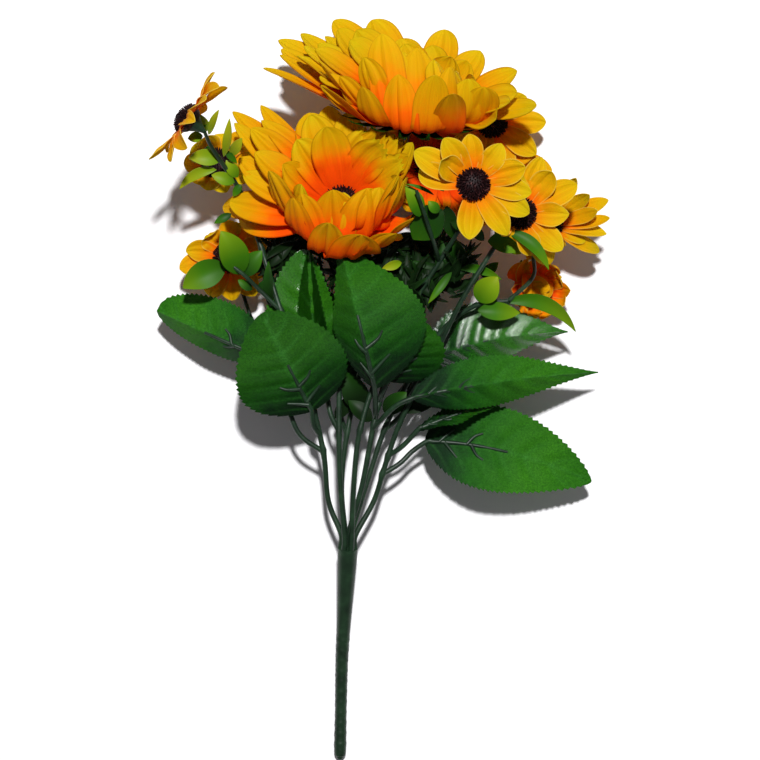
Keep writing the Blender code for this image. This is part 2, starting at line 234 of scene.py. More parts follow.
# Each stem: its place in degrees round the bundle, or None for the middle one, and its points.
STEMS = {
    "stem_1": (180, [(-25.4, -53.2, 27.5), (-27.7, -29.1, 33), (-35.9, 4.3, 38.5),
               (-47.4, 37.1, 42), (-56.5, 66, 41), (-64.5, 89, 43.5), (-69.5, 98.5, 52),
               (-74.5, 106, 62)]),
    "stem_2": (120, [(-19.4, -46, 34), (-20, -19.4, 38.5), (-19.5, 28, 38), (-17.8, 64, 26),
               (-17.8, 81.1, 35.7), (-18, 83, 39.6)]),
    "stem_3": (240, [(-19, -46, 25.5), (-16, -19.6, 27.5), (-6, 28, 25), (2, 72, 24), (7, 98, 27),
               (11.9, 118, 33), (12.6, 122.5, 34.7)]),
    "stem_4": (60, [(-13, -46, 36.5), (-10, -19.6, 40), (-1, 8, 41), (14, 38, 48), (30, 64, 55)]),
    "stem_5": (None, [(-9, -46, 31), (-2.8, -13.7, 34.5), (8, 28, 31), (15, 62, 16),
               (20.5, 86, 4.2), (24.2, 103.5, 1.8), (24.6, 104.6, 5.2)]),
    "stem_6": (300, [(-7, -46, 25), (2.5, -17.5, 26.5), (16.2, 9.1, 29.5), (31, 30, 37),
               (46, 40, 43), (60, 41.5, 45.5)]),
    "stem_7": (0, [(-3.2, -53.3, 26.5), (2, -36.4, 30), (9.5, -15.1, 34.5), (25, 15.5, 43),
               (38, 42, 53), (52, 65, 57)]),
}
# The y of each swelling where petioles or shoots leave a stem, from the fork up.
COLLARS = {"stem_1": (-29.5, -9, 37, 66), "stem_2": (-21,), "stem_3": (-21,), "stem_4": (-19,),
           "stem_5": (-17, -8, 56), "stem_6": (-19, -5), "stem_7": (-41, -32)}
COLLAR_RISE = 0.4
COLLAR_LENGTH = 1.6


def stem_control_points(place, waypoints):
    """A stem's points, from inside the handle's end and through its place in the bundle."""
    fork = Vector(HANDLE_ROUTE[-1])
    forward = (fork - Vector(HANDLE_ROUTE[-2])).normalized()
    across = forward.cross(UP).normalized()
    above = across.cross(forward)
    offset = Vector()
    if place is not None:
        angle = math.radians(place)
        offset = BUNDLE_PITCH * (math.cos(angle) * across + math.sin(angle) * above)
    start = fork + offset
    return [start - forward * BUNDLE_ROOT - offset * 0.35, start, start + forward * BUNDLE_RUN,
            *waypoints]


stem_routes = {}
for name, (bundle_place, waypoints) in STEMS.items():
    route = smooth_route(stem_control_points(bundle_place, waypoints), 12)
    stem_routes[name] = route
    radii = []
    for index, point in enumerate(route):
        radius = STEM_RADIUS * (1.08 - 0.2 * index / len(route))
        for collar in COLLARS[name]:
            radius *= 1.0 + COLLAR_RISE * math.exp(-((point.y - collar) / COLLAR_LENGTH) ** 2)
        radii.append(radius)
    stem = tube(f"{name}_moulded", [(route, radii)], 12)
    finish_piece(stem, stem_green, name)


# Cloth leaves: printed polyester, cut with a toothed edge and pressed with side veins, then glued
# on a moulded plastic rib that forks over the lower half. Half of them lie with the rib side up.

# Each leaf: the stem that carries it and the y where it leaves, its petiole's points, its rib's
# points, half its width, its roll, the scales of its left and right halves, the folds of the two in
# degrees, how deep it is pressed between the veins, how blunt its tip is (lower is blunter), its
# tone from light to dark, and the side its rib is on, 1 for up and -1 for down.
LEAVES = {
    "leaf_1": ("stem_1", -30, [(-38.5, -22, 34.5), (-44.2, -9.5, 36)],
               [(-51.8, 13, 37), (-83, 26.5, 34), (-107.9, 37.5, 24)],
               17.5, 4, (0.75, 1), (-58, 6), 0.5, 0.42, 0, 1),
    "leaf_2": ("stem_1", -22, [(-32, -17, 39.5)],
               [(-32.6, -10.4, 43), (-43.2, 10.7, 53), (-56, 35.5, 50)],
               27, 0, (1, 0.97), (-8, 6), 0.7, 0.6, 0.75, 1),
    "leaf_3": ("stem_5", -14, [(-2.6, -9, 42)],
               [(-2.9, 0, 50), (-10.5, 33, 67), (-20, 69, 49)],
               29, 0, (0.66, 1.04), (-50, -6), 0.8, 1, 0.5, 1),
    "leaf_4": ("stem_5", -6, [(1, -1, 42)],
               [(3.2, 4, 46), (13, 20, 55), (15, 34.5, 53)],
               20, 14, (1, 1), (-16, -16), 0.9, 0.75, 0.8, 1),
    "leaf_5": ("stem_2", -20, [(-24, -12, 35)],
               [(-26, -2, 33), (-32, 30.4, 34.5), (-34, 66, 44)],
               14, -6, (1, 1), (64, 58), 0.3, 0.75, 1, -1),
    "leaf_6": ("stem_1", -24, [(-32.5, -14, 26)],
               [(-35, -2, 22), (-38, 32, 33), (-36, 66, 44)],
               18, -4, (1, 1), (16, 14), 1.2, 0.6, 0.1, -1),
    "leaf_7": ("stem_6", -12, [(12.5, -3, 24.5)],
               [(22.5, 13.6, 28), (51.6, 23.3, 36), (89.6, 27.4, 27)],
               17, 8, (1.12, 0.9), (-16, -30), 1.7, 1.25, 0.1, -1),
    "leaf_8": ("stem_5", -19, [(4, -10.5, 43.5), (9, -6.6, 46)],
               [(14.9, -3.9, 47), (56.5, 3.5, 44), (104.5, 8, 23.5)],
               13.5, -4, (1, 1), (-12, -40), 1.3, 1.2, 0.15, -1),
    "leaf_9": ("stem_7", -41, [(9.2, -35.6, 27), (15, -30, 26)],
               [(21.1, -25.3, 26), (59.3, -30, 27), (101.6, -44.9, 20)],
               20.5, -6, (1, 1), (10, 10), 0.9, 0.75, 0, 1),
    "leaf_10": ("stem_7", -32, [(10.5, -27, 34)],
                [(17.6, -19.6, 36.5), (37.8, -12, 35), (57, -7, 30)],
                7, -58, (1, 1), (10, 10), 0.9, 0.75, 0.7, 1),
    "leaf_11": ("stem_6", -20, [(9, -13.5, 21)],
                [(16, -5, 16), (33, 8, 9), (58, 18, 0.9)],
                18, -6, (1, 1), (8, 8), 0.9, 0.75, 0.5, -1),
    "leaf_12": ("stem_3", -22, [(-19.5, -13, 20)],
                [(-20.4, 0, 13), (-23, 22, 6), (-27, 48, 0.9)],
                20, 0, (1, 1), (8, 8), 0.9, 0.75, 0.6, -1),
}
VEIN_PAIRS = 6
VEIN_SWEEP = 0.16
VEIN_WIDTH = 0.09
VEIN_DEPTH = 0.35
MIDRIB_WIDTH = 0.045
MIDRIB_DEPTH = 0.5
TOOTH_PITCH = 2.5
TOOTH_DEPTH = 1.4
TOOTHED_EDGE = 0.93
FOLD_SOFTNESS = 0.09
LEAF_THICKNESS = 0.35
BLADE_ROWS = 150
BLADE_COLUMNS = 22


def point_at(route, y):
    """The point where a route first passes the given y."""
    for before, after in zip(route, route[1:]):
        if before.y <= y <= after.y:
            return before.lerp(after, (y - before.y) / (after.y - before.y))
    return route[-1]


def set_attribute(mesh, name, values):
    layer = mesh.attributes.new(name, "FLOAT", "POINT")
    layer.data.foreach_set("value", np.asarray(values, np.float32))


def cloth(name, columns, rows, places, attributes, cell):
    """A flat blank, with its points moved to the given places, rows by columns.

    cell is the piece's part of the atlas that its pattern is kept in: low u, low v, width, height.
    """
    deselect()
    bpy.ops.mesh.primitive_grid_add(x_subdivisions=columns - 1, y_subdivisions=rows - 1, size=1.0)
    blank = bpy.context.active_object
    blank.name = name
    mesh = blank.data
    mesh.vertices.foreach_set("co", (np.asarray(places) * MILLIMETRE).reshape(-1))
    for key, values in attributes.items():
        set_attribute(mesh, key, np.asarray(values).reshape(-1))
    while mesh.uv_layers:
        mesh.uv_layers.remove(mesh.uv_layers[0])
    atlas = mesh.uv_layers.new(name="OFBake")
    corner_vertices = np.zeros(len(mesh.loops), np.int32)
    mesh.loops.foreach_get("vertex_index", corner_vertices)
    across = (corner_vertices % columns) / (columns - 1)
    along = (corner_vertices // columns) / (rows - 1)
    atlas.uv.foreach_set("vector", np.column_stack(
        (cell[0] + across * cell[2], cell[1] + along * cell[3])).astype(np.float32).reshape(-1))
    mesh.update()
    return blank


def thicken(piece, thickness):
    """Turns a sheet into closed cloth with the sheet in its middle."""
    deselect()
    piece.select_set(True)
    bpy.context.view_layer.objects.active = piece
    wall = piece.modifiers.new("thickness", "SOLIDIFY")
    wall.thickness = thickness * MILLIMETRE
    wall.offset = 0.0
    bpy.ops.object.modifier_apply(modifier=wall.name)
    bpy.ops.object.shade_smooth_by_angle(angle=math.radians(60))
    piece.select_set(False)


def turned(side, normal, degrees):
    """Two square directions, turned in their plane from the first one towards the second."""
    turn = np.radians(degrees)
    return side * np.cos(turn) + normal * np.sin(turn), normal * np.cos(turn) - side * np.sin(turn)


def blade_places(rib, half_width, roll, sides, folds, pleat, blunt, seed):
    """The toothed, veined blade: its places, its shares along, its vein depths, and the middle line
    with the directions above it."""
    base, middle, tip = (np.array(point) for point in rib)
    bend = 2 * middle - (base + tip) / 2
    s = np.linspace(0.0, 1.0, BLADE_ROWS)[:, None]
    centre = base * (1 - s) ** 2 + bend * 2 * s * (1 - s) + tip * s ** 2
    way = np.gradient(centre, axis=0)
    way /= np.linalg.norm(way, axis=1)[:, None]
    across = np.cross(way, UP)
    across /= np.linalg.norm(across, axis=1)[:, None]
    across, above = turned(across, np.cross(across, way), -roll)
    outline = np.sin(np.pi * s ** 0.8).clip(0) ** np.where(s < 0.42, 0.75, blunt)
    reach = half_width * (outline + 0.015)
    u = np.linspace(-1.0, 1.0, BLADE_COLUMNS + 1)[None, :]
    u = np.sign(u) * np.abs(u) ** 0.9
    side = np.sign(u)
    out = np.abs(u)
    scale = np.where(u < 0, *sides)
    teeth = (s * np.linalg.norm(tip - base) / TOOTH_PITCH) % 1.0
    bite = TOOTH_DEPTH * (teeth - 0.5) * (out > TOOTHED_EDGE) * np.clip(reach / 5.0, 0, 1)
    toothed = reach * (u * scale) + side * bite
    veins = ((s - VEIN_SWEEP * out ** 1.15) * VEIN_PAIRS / 0.9 + 0.35) % 1.0
    groove = np.exp(-((veins - 0.5) / VEIN_WIDTH) ** 2) * np.clip(1.15 - out, 0, 1)
    midrib = np.exp(-(u / MIDRIB_WIDTH) ** 2) * (s < 0.97)
    relief = VEIN_DEPTH * groove + MIDRIB_DEPTH * midrib
    phases = np.random.default_rng(seed).uniform(0, 2 * np.pi, 4)
    ripple = (0.9 * np.sin(s * 9 + phases[0] + 1.5 * side) * out ** 2
              + 0.5 * np.sin(s * 17 + phases[1] + 2.0 * u) * out ** 3)
    ripple *= np.clip(reach / half_width, 0, 1)
    pillow = 0.5 * np.cos(veins * 2 * np.pi) * (1 - out ** 3) * (reach / half_width)
    tilt = np.radians(np.where(u < 0, *folds))
    bent = (np.sqrt(u ** 2 + FOLD_SOFTNESS ** 2) - FOLD_SOFTNESS) * scale
    flat = toothed * np.cos(tilt)
    lift = reach * (bent * np.sin(tilt)) + relief + ripple + pleat * pillow
    places = (centre[:, None, :] + across[:, None, :] * flat[..., None]
              + above[:, None, :] * lift[..., None])
    return places, np.broadcast_to(s, flat.shape), groove + midrib, centre, above


# Printed polyester leaf cloth: a dull weave, darker and bluer at the foot of the leaf, partly its
# print and partly painted shade where the foot lies deep in the bush, and paler on the pressed
# veins. The thread spacing is drawn at 0.7 mm, coarser than the real 0.3 mm, so that it shows.
def green_leaf_cloth(name, roughness, specular, relief):
    fabric, shader = new_material(name, {"Roughness": roughness, "Specular IOR Level": specular})
    place = add_node(fabric, "TexCoord", output="Object")
    along, tone, vein = [add_node(fabric, "Attribute", {"attribute_name": key}, output="Fac")
                         for key in ("along", "tone", "vein")]
    cloud = add_node(fabric, "TexNoise", {"Scale": 70.0, "Detail": 5.0, "Roughness": 0.6},
                     {"Vector": place})
    spread = add_node(fabric, "Math", {"operation": "MULTIPLY_ADD", 1: 0.5, 2: -0.25}, {0: cloud})
    dye_place = add_node(fabric, "Math", {"operation": "ADD"}, {0: along, 1: spread})
    # The ramp along the leaf darkens its foot: partly the print, partly painted shade.
    dyed = add_node(fabric, "ValToRGB",
                    {"stops": [(0.0, "0C2414"), (0.16, "123818"), (0.34, "215F14"),
                               (0.7, "387C14"), (1.0, "2E7212")]}, {"Fac": dye_place})
    toned = add_node(fabric, "Mix", {"data_type": "RGBA", "blend_type": "MULTIPLY",
                                     7: linear("8AA284")}, {0: tone, 6: dyed}, output=2)
    vein_share = add_node(fabric, "Math", {"operation": "MULTIPLY", 1: 0.3}, {0: vein})
    veined = add_node(fabric, "Mix", {"data_type": "RGBA", "blend_type": "MIX",
                                      7: linear("3C8030")}, {0: vein_share, 6: toned}, output=2)
    slanted = add_node(fabric, "Mapping", {"Rotation": (0.3, 0.2, 0.75)}, {"Vector": place})
    threads = [add_node(fabric, "TexWave", {"bands_direction": way, "Scale": 430.0,
                                            "Distortion": 5.0, "Detail": 3.0, "Detail Scale": 2.5},
                        {"Vector": slanted}, output="Fac") for way in "XY"]
    weave = add_node(fabric, "Math", {"operation": "MULTIPLY"}, {0: threads[0], 1: threads[1]})
    fleck = add_node(fabric, "TexNoise", {"Scale": 1300.0, "Detail": 2.0, "Roughness": 0.7},
                     {"Vector": place})
    fleck_share = add_node(fabric, "MapRange", {"From Min": 0.35, "From Max": 0.7, "To Min": 0.7,
                                                "To Max": 0.0}, {"Value": fleck})
    weave_share = add_node(fabric, "Math", {"operation": "MULTIPLY_ADD", 1: 0.3},
                           {0: weave, 2: fleck_share})
    woven = add_node(fabric, "Mix", {"data_type": "RGBA", "blend_type": "MULTIPLY",
                                     7: linear("7C9C7C")}, {0: weave_share, 6: veined}, output=2)
    height = add_node(fabric, "Math", {"operation": "ADD"}, {0: weave, 1: fleck})
    bump = add_node(fabric, "Bump", {"Strength": relief, "Distance": 0.0003}, {"Height": height})
    feed(shader, {"Base Color": woven, "Normal": bump})
    return fabric


leaf_cloth = green_leaf_cloth("green_polyester_leaf_cloth", 0.55, 0.08, 0.5)
# The glazed front of the cloth, which two leaves turn up.
glazed_leaf_cloth = green_leaf_cloth("glazed_green_leaf_cloth", 0.26, 0.9, 0.3)
GLAZED = ("leaf_6", "leaf_7")

# The moulded rib stops about half way up the blade. Its side branches leave at these shares of the
# blade's length, and reach these shares of its half width.
RIB_END = 0.52
RIB_RADII = (1.25, 1.15, 0.65)
RIB_LIFT = 0.55
RIB_BRANCHES = ((0.1, 0.34), (0.27, 0.3))
BRANCH_SWEEP = 0.09
BRANCH_RADII = (0.95, 0.5)
for number, (name, (carrier, y, petiole, *blade_shape, tone, side)) in enumerate(LEAVES.items()):
    places, along, vein, centre, above = blade_places(*blade_shape, number)
    blade = cloth(f"{name}_blade", BLADE_COLUMNS + 1, BLADE_ROWS, places,
                  {"along": along, "tone": np.full(along.shape, tone), "vein": vein},
                  (0.0, 0.0, 1.0, 1.0))
    thicken(blade, LEAF_THICKNESS)
    finish_piece(blade, glazed_leaf_cloth if name in GLAZED else leaf_cloth, name)

    start = point_at(stem_routes[carrier], y)
    lift = RIB_LIFT * side
    rows = [int(share * (BLADE_ROWS - 1)) for share in np.linspace(0.02, RIB_END, 14)]
    on_blade = [Vector(centre[row] + above[row] * lift) for row in rows]
    route = smooth_route([start, *petiole, *on_blade], 5)
    radii = np.interp(np.arange(len(route)), (0, len(route) * 0.3, len(route) - 1), RIB_RADII)
    branches = [(route, list(radii))]
    for share, length in RIB_BRANCHES:
        for hand in (-1.0, 1.0):
            row = int((share + 0.03 * (hand > 0)) * (BLADE_ROWS - 1))
            points = []
            for part in (0.0, 0.5, 1.0):
                at_row = min(int(row + part * BRANCH_SWEEP * BLADE_ROWS), BLADE_ROWS - 1)
                column = int(round((hand * part * length + 1.0) / 2 * BLADE_COLUMNS))
                rise = above[at_row] * lift * (1.0 - 0.3 * part)
                points.append(Vector(places[at_row, column] + rise))
            branch = smooth_route(points, 4)
            branches.append((branch, list(np.linspace(*BRANCH_RADII, len(branch)))))
    ribs = tube(f"{name}_rib", branches, 8)
    finish_piece(ribs, stem_green, name)


# Blooms: layers of polyester cloth petals, cut from a flat blank, dyed orange over the lower half
# and pressed with a crease and pleats, then threaded on a calyx. The pressing has worn uneven, so
# each petal of the two upper blooms has its own tip.
BLOOM_RADIUS = 9.0
# The disc's centre, the way it faces, and round the flower from its right side by its far side:
# the petals' lean from the axis at the foot, how far they run that way before they bend, and how
# sharp the bend is. The near petals run out flat and then stand up like the wall of a bowl.
BLOOMS = {
    "bloom_top": ((14, 131, 38), (0.15, 0.92, 0.36), (82, 66, 58, 66, 82, 90, 92, 90),
                  (28, 24, 20, 24, 28, 34, 37, 34), (1.4, 1, 1, 1, 1.4, 2.4, 3.2, 2.4)),
    "bloom_left": ((-18.5, 87.4, 48), (-0.05, 0.45, 0.89), (66, 56, 48, 60, 74, 88, 100, 88),
                   (18, 16, 14, 18, 24, 28, 30, 28), (1.2, 1, 1, 1, 1.2, 1.8, 2.2, 1.8)),
}
# Round each flower: the petal's angle, its tip and half its width.
OUTER_PETALS = {
    "bloom_top": [(12, (73, 131, 56), 6.5), (346, (52, 125, 66), 8), (332, (47, 140, 68), 9),
                  (298, (31, 137, 84), 8), (282, (23, 143, 82), 8.5), (264, (8, 143, 80), 8.5),
                  (244, (-7, 138, 80), 7.5), (228, (-22, 142, 70), 7.5), (212, (-29, 140, 60), 6.5),
                  (203, (-54, 153, 50), 6.5), (192, (-48, 157, 44), 6.5),
                  (176, (-47, 162, 38), 6.5), (160, (-48, 168, 34), 6.5),
                  (146, (-39, 169, 30), 6.5), (128, (-27, 169, 28), 6), (112, (-22, 179, 22), 8.5),
                  (96, (-4, 180, 16), 9), (62, (31, 175, 14), 9), (40, (47, 163, 26), 8.5),
                  (24, (64, 151, 40), 7.5)],
    "bloom_left": [(0, (15, 114, 62), 8), (20, (9, 119, 52), 8), (40, (2, 122, 50), 8),
                   (60, (-5, 123, 50), 8), (80, (-15, 130, 46), 9), (100, (-25, 134, 44), 8),
                   (118, (-34, 131, 44), 10), (138, (-57, 135, 40), 5.5), (150, (-70, 132, 42), 6),
                   (160, (-69, 125, 46), 6), (176, (-65, 110, 52), 8.5), (192, (-78, 88, 40), 7.5),
                   (208, (-71, 84, 38), 8), (236, (-40, 88, 72), 8), (256, (-23, 78, 76), 9.5),
                   (276, (-9, 73, 76), 12.5), (296, (5, 74, 74), 11), (316, (14, 80, 72), 9),
                   (334, (12, 96, 76), 9)],
}
MIDDLE_PETALS = {
    "bloom_top": [(12, (63, 139, 52), 7.5), (348, (59, 134, 60), 8), (318, (40, 143, 68), 8.5),
                  (300, (33, 148, 70), 8.5), (278, (17, 158, 66), 9), (256, (0, 164, 66), 9),
                  (232, (-18, 145, 62), 7), (212, (-29, 152, 60), 6.5), (196, (-38, 158, 50), 6.5),
                  (178, (-35, 163, 44), 6.5), (158, (-30, 164, 36), 6.5), (136, (-21, 172, 28), 8),
                  (112, (-12, 172, 26), 9), (84, (9, 169, 22), 9), (58, (24, 165, 26), 9),
                  (36, (41, 156, 36), 8.5)],
    "bloom_left": [(10, (14, 107, 66), 8), (34, (9, 116, 60), 8.5), (58, (1, 120, 58), 9),
                   (82, (-6, 120, 58), 8), (106, (-33, 128, 54), 9), (130, (-56, 127, 48), 6),
                   (148, (-61, 122, 50), 7), (168, (-58, 111, 56), 8), (186, (-64, 102, 54), 8),
                   (203, (-72, 89, 48), 8), (226, (-50, 101, 70), 9), (248, (-36, 90, 72), 8),
                   (268, (-22, 92, 73), 12), (292, (-6, 92, 73), 13), (314, (9, 97, 74), 10)],
}
INNER_PETALS = {
    "bloom_top": [(0, (45, 142, 56), 8.5), (330, (34, 146, 66), 8.5), (300, (25, 152, 66), 8.5),
                  (268, (9, 156, 64), 8.5), (238, (-7, 153, 66), 8), (208, (-28, 147, 56), 6.5),
                  (170, (-31, 161, 40), 6.5), (130, (-15, 166, 34), 8.5), (80, (11, 165, 30), 9),
                  (40, (33, 157, 40), 9)],
    "bloom_left": [(20, (10, 105, 70), 8), (60, (2, 114, 64), 9), (100, (-26, 122, 60), 9.5),
                   (135, (-39, 116, 58), 8.5), (170, (-44, 104, 64), 8), (215, (-37, 94, 70), 8),
                   (262, (-17, 90, 72), 9), (300, (0, 92, 72), 9), (335, (9, 96, 74), 9)],
}
# Each layer's petals, how many degrees they lean in and how far up the axis they are threaded, and
# how much of the near petals' orange it shares.
LAYERS = ((OUTER_PETALS, 0, -1.2, 1.0), (MIDDLE_PETALS, 6, 0.0, 0.6), (INNER_PETALS, 16, 1.2, 0.0))
# Petals with a fold: how many millimetres the tip turns out (or in), and the roll in degrees.
FOLDS = {("bloom_top", 282): (6, 0), ("bloom_top", 298): (8, -20), ("bloom_top", 332): (2, -58),
         ("bloom_top", 318): (1, -50), ("bloom_top", 346): (1, 20), ("bloom_top", 348): (1, 14),
         ("bloom_top", 228): (6, -30), ("bloom_left", 256): (4, 4), ("bloom_left", 276): (4, -4),
         ("bloom_left", 296): (4, -4), ("bloom_left", 192): (7, -12), ("bloom_left", 208): (6, -10),
         ("bloom_left", 176): (6, -14)}
# Petals with a worn end.
RAGGED = [("bloom_left", 20), ("bloom_left", 34), ("bloom_left", 58), ("bloom_left", 82),
          ("bloom_left", 60)]
# How far the orange runs up the near petals, and up all of them. On bloom_left the deeper orange of
# all its petals is painted warmth, standing in for the light bounced between the petals in its
# shade.
NEAR_DYE = {"bloom_top": 1.0, "bloom_left": 1.1}
DEEP_DYE_AND_SHADE_WARMTH = {"bloom_top": 0.0, "bloom_left": 0.35}
# How many degrees the right and the left petals are turned up, and how full the petals' tips are.
TURNED_UP = {"bloom_top": (28.0, 26.0), "bloom_left": (8.0, 8.0)}
FULLNESS = {"bloom_top": (2.8, 4.0), "bloom_left": (1.8, 2.6)}
NARROW_PETAL = 6.5
NARROW_FULLNESS = 1.5
# A petal's foot starts at this share of the disc, is this share of its width, and widens this far.
BLOOM_FOOT = 0.55
FOOT_WIDTH = 0.5
WIDEST = 0.62
SMOOTH_END, RAGGED_END = 0.03, 0.55
RAGGED_TEETH = 2.4
PETAL_THICKNESS = 0.3
SHEET_GAP = 0.25
PETAL_COLUMNS = 14
PETAL_ROWS = 24
LINE_POINTS = 60
PETAL_STEPS = np.sin(np.linspace(0.0, 1.0, PETAL_ROWS + 1) * math.pi / 2) ** 1.15


def around(values, angle):
    """Blends evenly spaced values round a circle, with the first one at angle 0."""
    turn = angle / math.tau * len(values) % len(values)
    index = int(turn)
    share = 0.5 - 0.5 * math.cos(math.pi * (turn - index))
    return values[index] * (1.0 - share) + values[(index + 1) % len(values)] * share


def flower_axes(axis):
    """The way a flower faces, its right and its far side."""
    facing = Vector(axis).normalized()
    right = (Vector((1.0, 0.0, 0.0)) - facing * facing.x).normalized()
    return np.array(facing), np.array(right), np.array(facing.cross(right))


def outwards(axes, angle):
    return math.cos(angle) * axes[1] + math.sin(angle) * axes[2]


def line_to_tip(centre, axes, start, angle, lean, pull, bend, tip):
    """A petal's middle line: out of the flower at the lean, then round a bend to the tip."""
    outward = outwards(axes, angle)
    foot = np.array(centre) + outward * start
    lean = math.radians(lean)
    corner = foot + pull * (axes[0] * math.cos(lean) + outward * math.sin(lean))
    t = np.linspace(0.0, 1.0, LINE_POINTS)[:, None]
    shares = (1 - t) ** 2, 2 * bend * t * (1 - t), t ** 2
    return (foot * shares[0] + corner * shares[1] + np.array(tip) * shares[2]) / sum(shares)


def line_by_leans(centre, axes, start, angle, leans, reach):
    """A petal's middle line, with its lean from the axis in degrees at the foot and at the tip."""
    outward = outwards(axes, angle)
    t = np.linspace(0.0, 1.0, LINE_POINTS)
    lean = np.radians(leans[0] * (1 - t) + leans[1] * t)[:, None]
    steps = (axes[0] * np.cos(lean) + outward * np.sin(lean)) * (reach / (LINE_POINTS - 1))
    steps[0] = 0.0
    return np.array(centre) + outward * start + np.cumsum(steps, axis=0)


def petal_places(line, axes, angle, half_width, shape, fold, rng, end=SMOOTH_END, teeth=0.0):
    """One petal's places, rows from foot to tip, on a middle line, and their shares along it.

    shape is (foot width share, place of the widest part, tip fullness, cup, crease).
    fold is (how far the tip turns out, roll in degrees).
    """
    foot_share, widest, full, cup, crease = shape
    runs = np.concatenate(([0.0], np.cumsum(np.linalg.norm(np.diff(line, axis=0), axis=1))))
    v = PETAL_STEPS[:, None]
    middle = np.column_stack([np.interp(PETAL_STEPS * runs[-1], runs, line[:, axis])
                              for axis in range(3)])
    way = np.gradient(middle, axis=0)
    way /= np.linalg.norm(way, axis=1)[:, None]
    tangent = outwards(axes, angle + math.pi / 2)
    side = tangent - way * (way @ tangent)[:, None]
    side /= np.linalg.norm(side, axis=1)[:, None]
    side, normal = turned(side, np.cross(way, side), fold[1] * v ** 0.8)
    middle = middle - normal * (fold[0] * np.clip((v - 0.6) / 0.4, 0, 1) ** 2)
    rise = np.clip(v / widest, 0, 1)
    fall = np.clip((v - widest) / (1 - widest), 0, 1)
    outline = foot_share + (1 - foot_share) * np.sin(rise * math.pi / 2)
    width = half_width * np.maximum(outline * (1 - fall ** full) ** 0.65, end)
    u = np.linspace(-1.0, 1.0, PETAL_COLUMNS + 1)[None, :]
    phases = rng.uniform(0, math.tau, 3)
    section = cup * u ** 2 - crease * np.exp(-(u / 0.14) ** 2)
    section = section + 0.6 * crease * np.cos(3.0 * math.pi * u + phases[0] * 0.3) * (1 - u ** 2)
    waver = 0.09 * np.sin(v * 8 + phases[1] + 2.2 * np.sign(u)) * np.abs(u) ** 1.5
    waver = waver + 0.03 * np.sin(v * 19 + phases[2] + 3.0 * u) * np.abs(u)
    lift = np.minimum(1.0, 2.2 * v) * width * (section + waver)
    places = middle[:, None, :] + side[:, None, :] * (u * width)[..., None]
    places = places + normal[:, None, :] * lift[..., None]
    bite = teeth * (0.5 - 0.5 * np.cos(3.5 * math.pi * (u + 1) + phases[2])) * v ** 10
    places = places - way[:, None, :] * bite[..., None]
    places[..., 2] = np.maximum(places[..., 2], SHEET_GAP)
    return places, np.broadcast_to(v, lift.shape)


def join(name, pieces):
    deselect()
    for piece in pieces:
        piece.select_set(True)
    bpy.context.view_layer.objects.active = pieces[0]
    if len(pieces) > 1:
        bpy.ops.object.join()
    joined = bpy.context.view_layer.objects.active
    joined.name = name
    joined.select_set(False)
    return joined


def petal_piece(name, petals, foot_stretch=0.0):
    """Joins petals, each (places, shares along, tone), into one cloth piece."""
    cells = math.ceil(math.sqrt(len(petals)))
    pieces = []
    for number, (places, share, tone) in enumerate(petals):
        corner = [place / cells + 0.004 for place in (number % cells, number // cells)]
        rows, columns = share.shape
        across = np.broadcast_to(np.linspace(-1, 1, columns)[None, :], share.shape)
        pieces.append(cloth(f"{name}_{number}", columns, rows, places,
                            {"along": foot_stretch + (1 - foot_stretch) * share, "across": across,
                             "tone": np.full(share.shape, tone)},
                            (*corner, 1 / cells - 0.008, 1 / cells - 0.008)))
    joined = join(name, pieces)
    thicken(joined, PETAL_THICKNESS)
    return joined


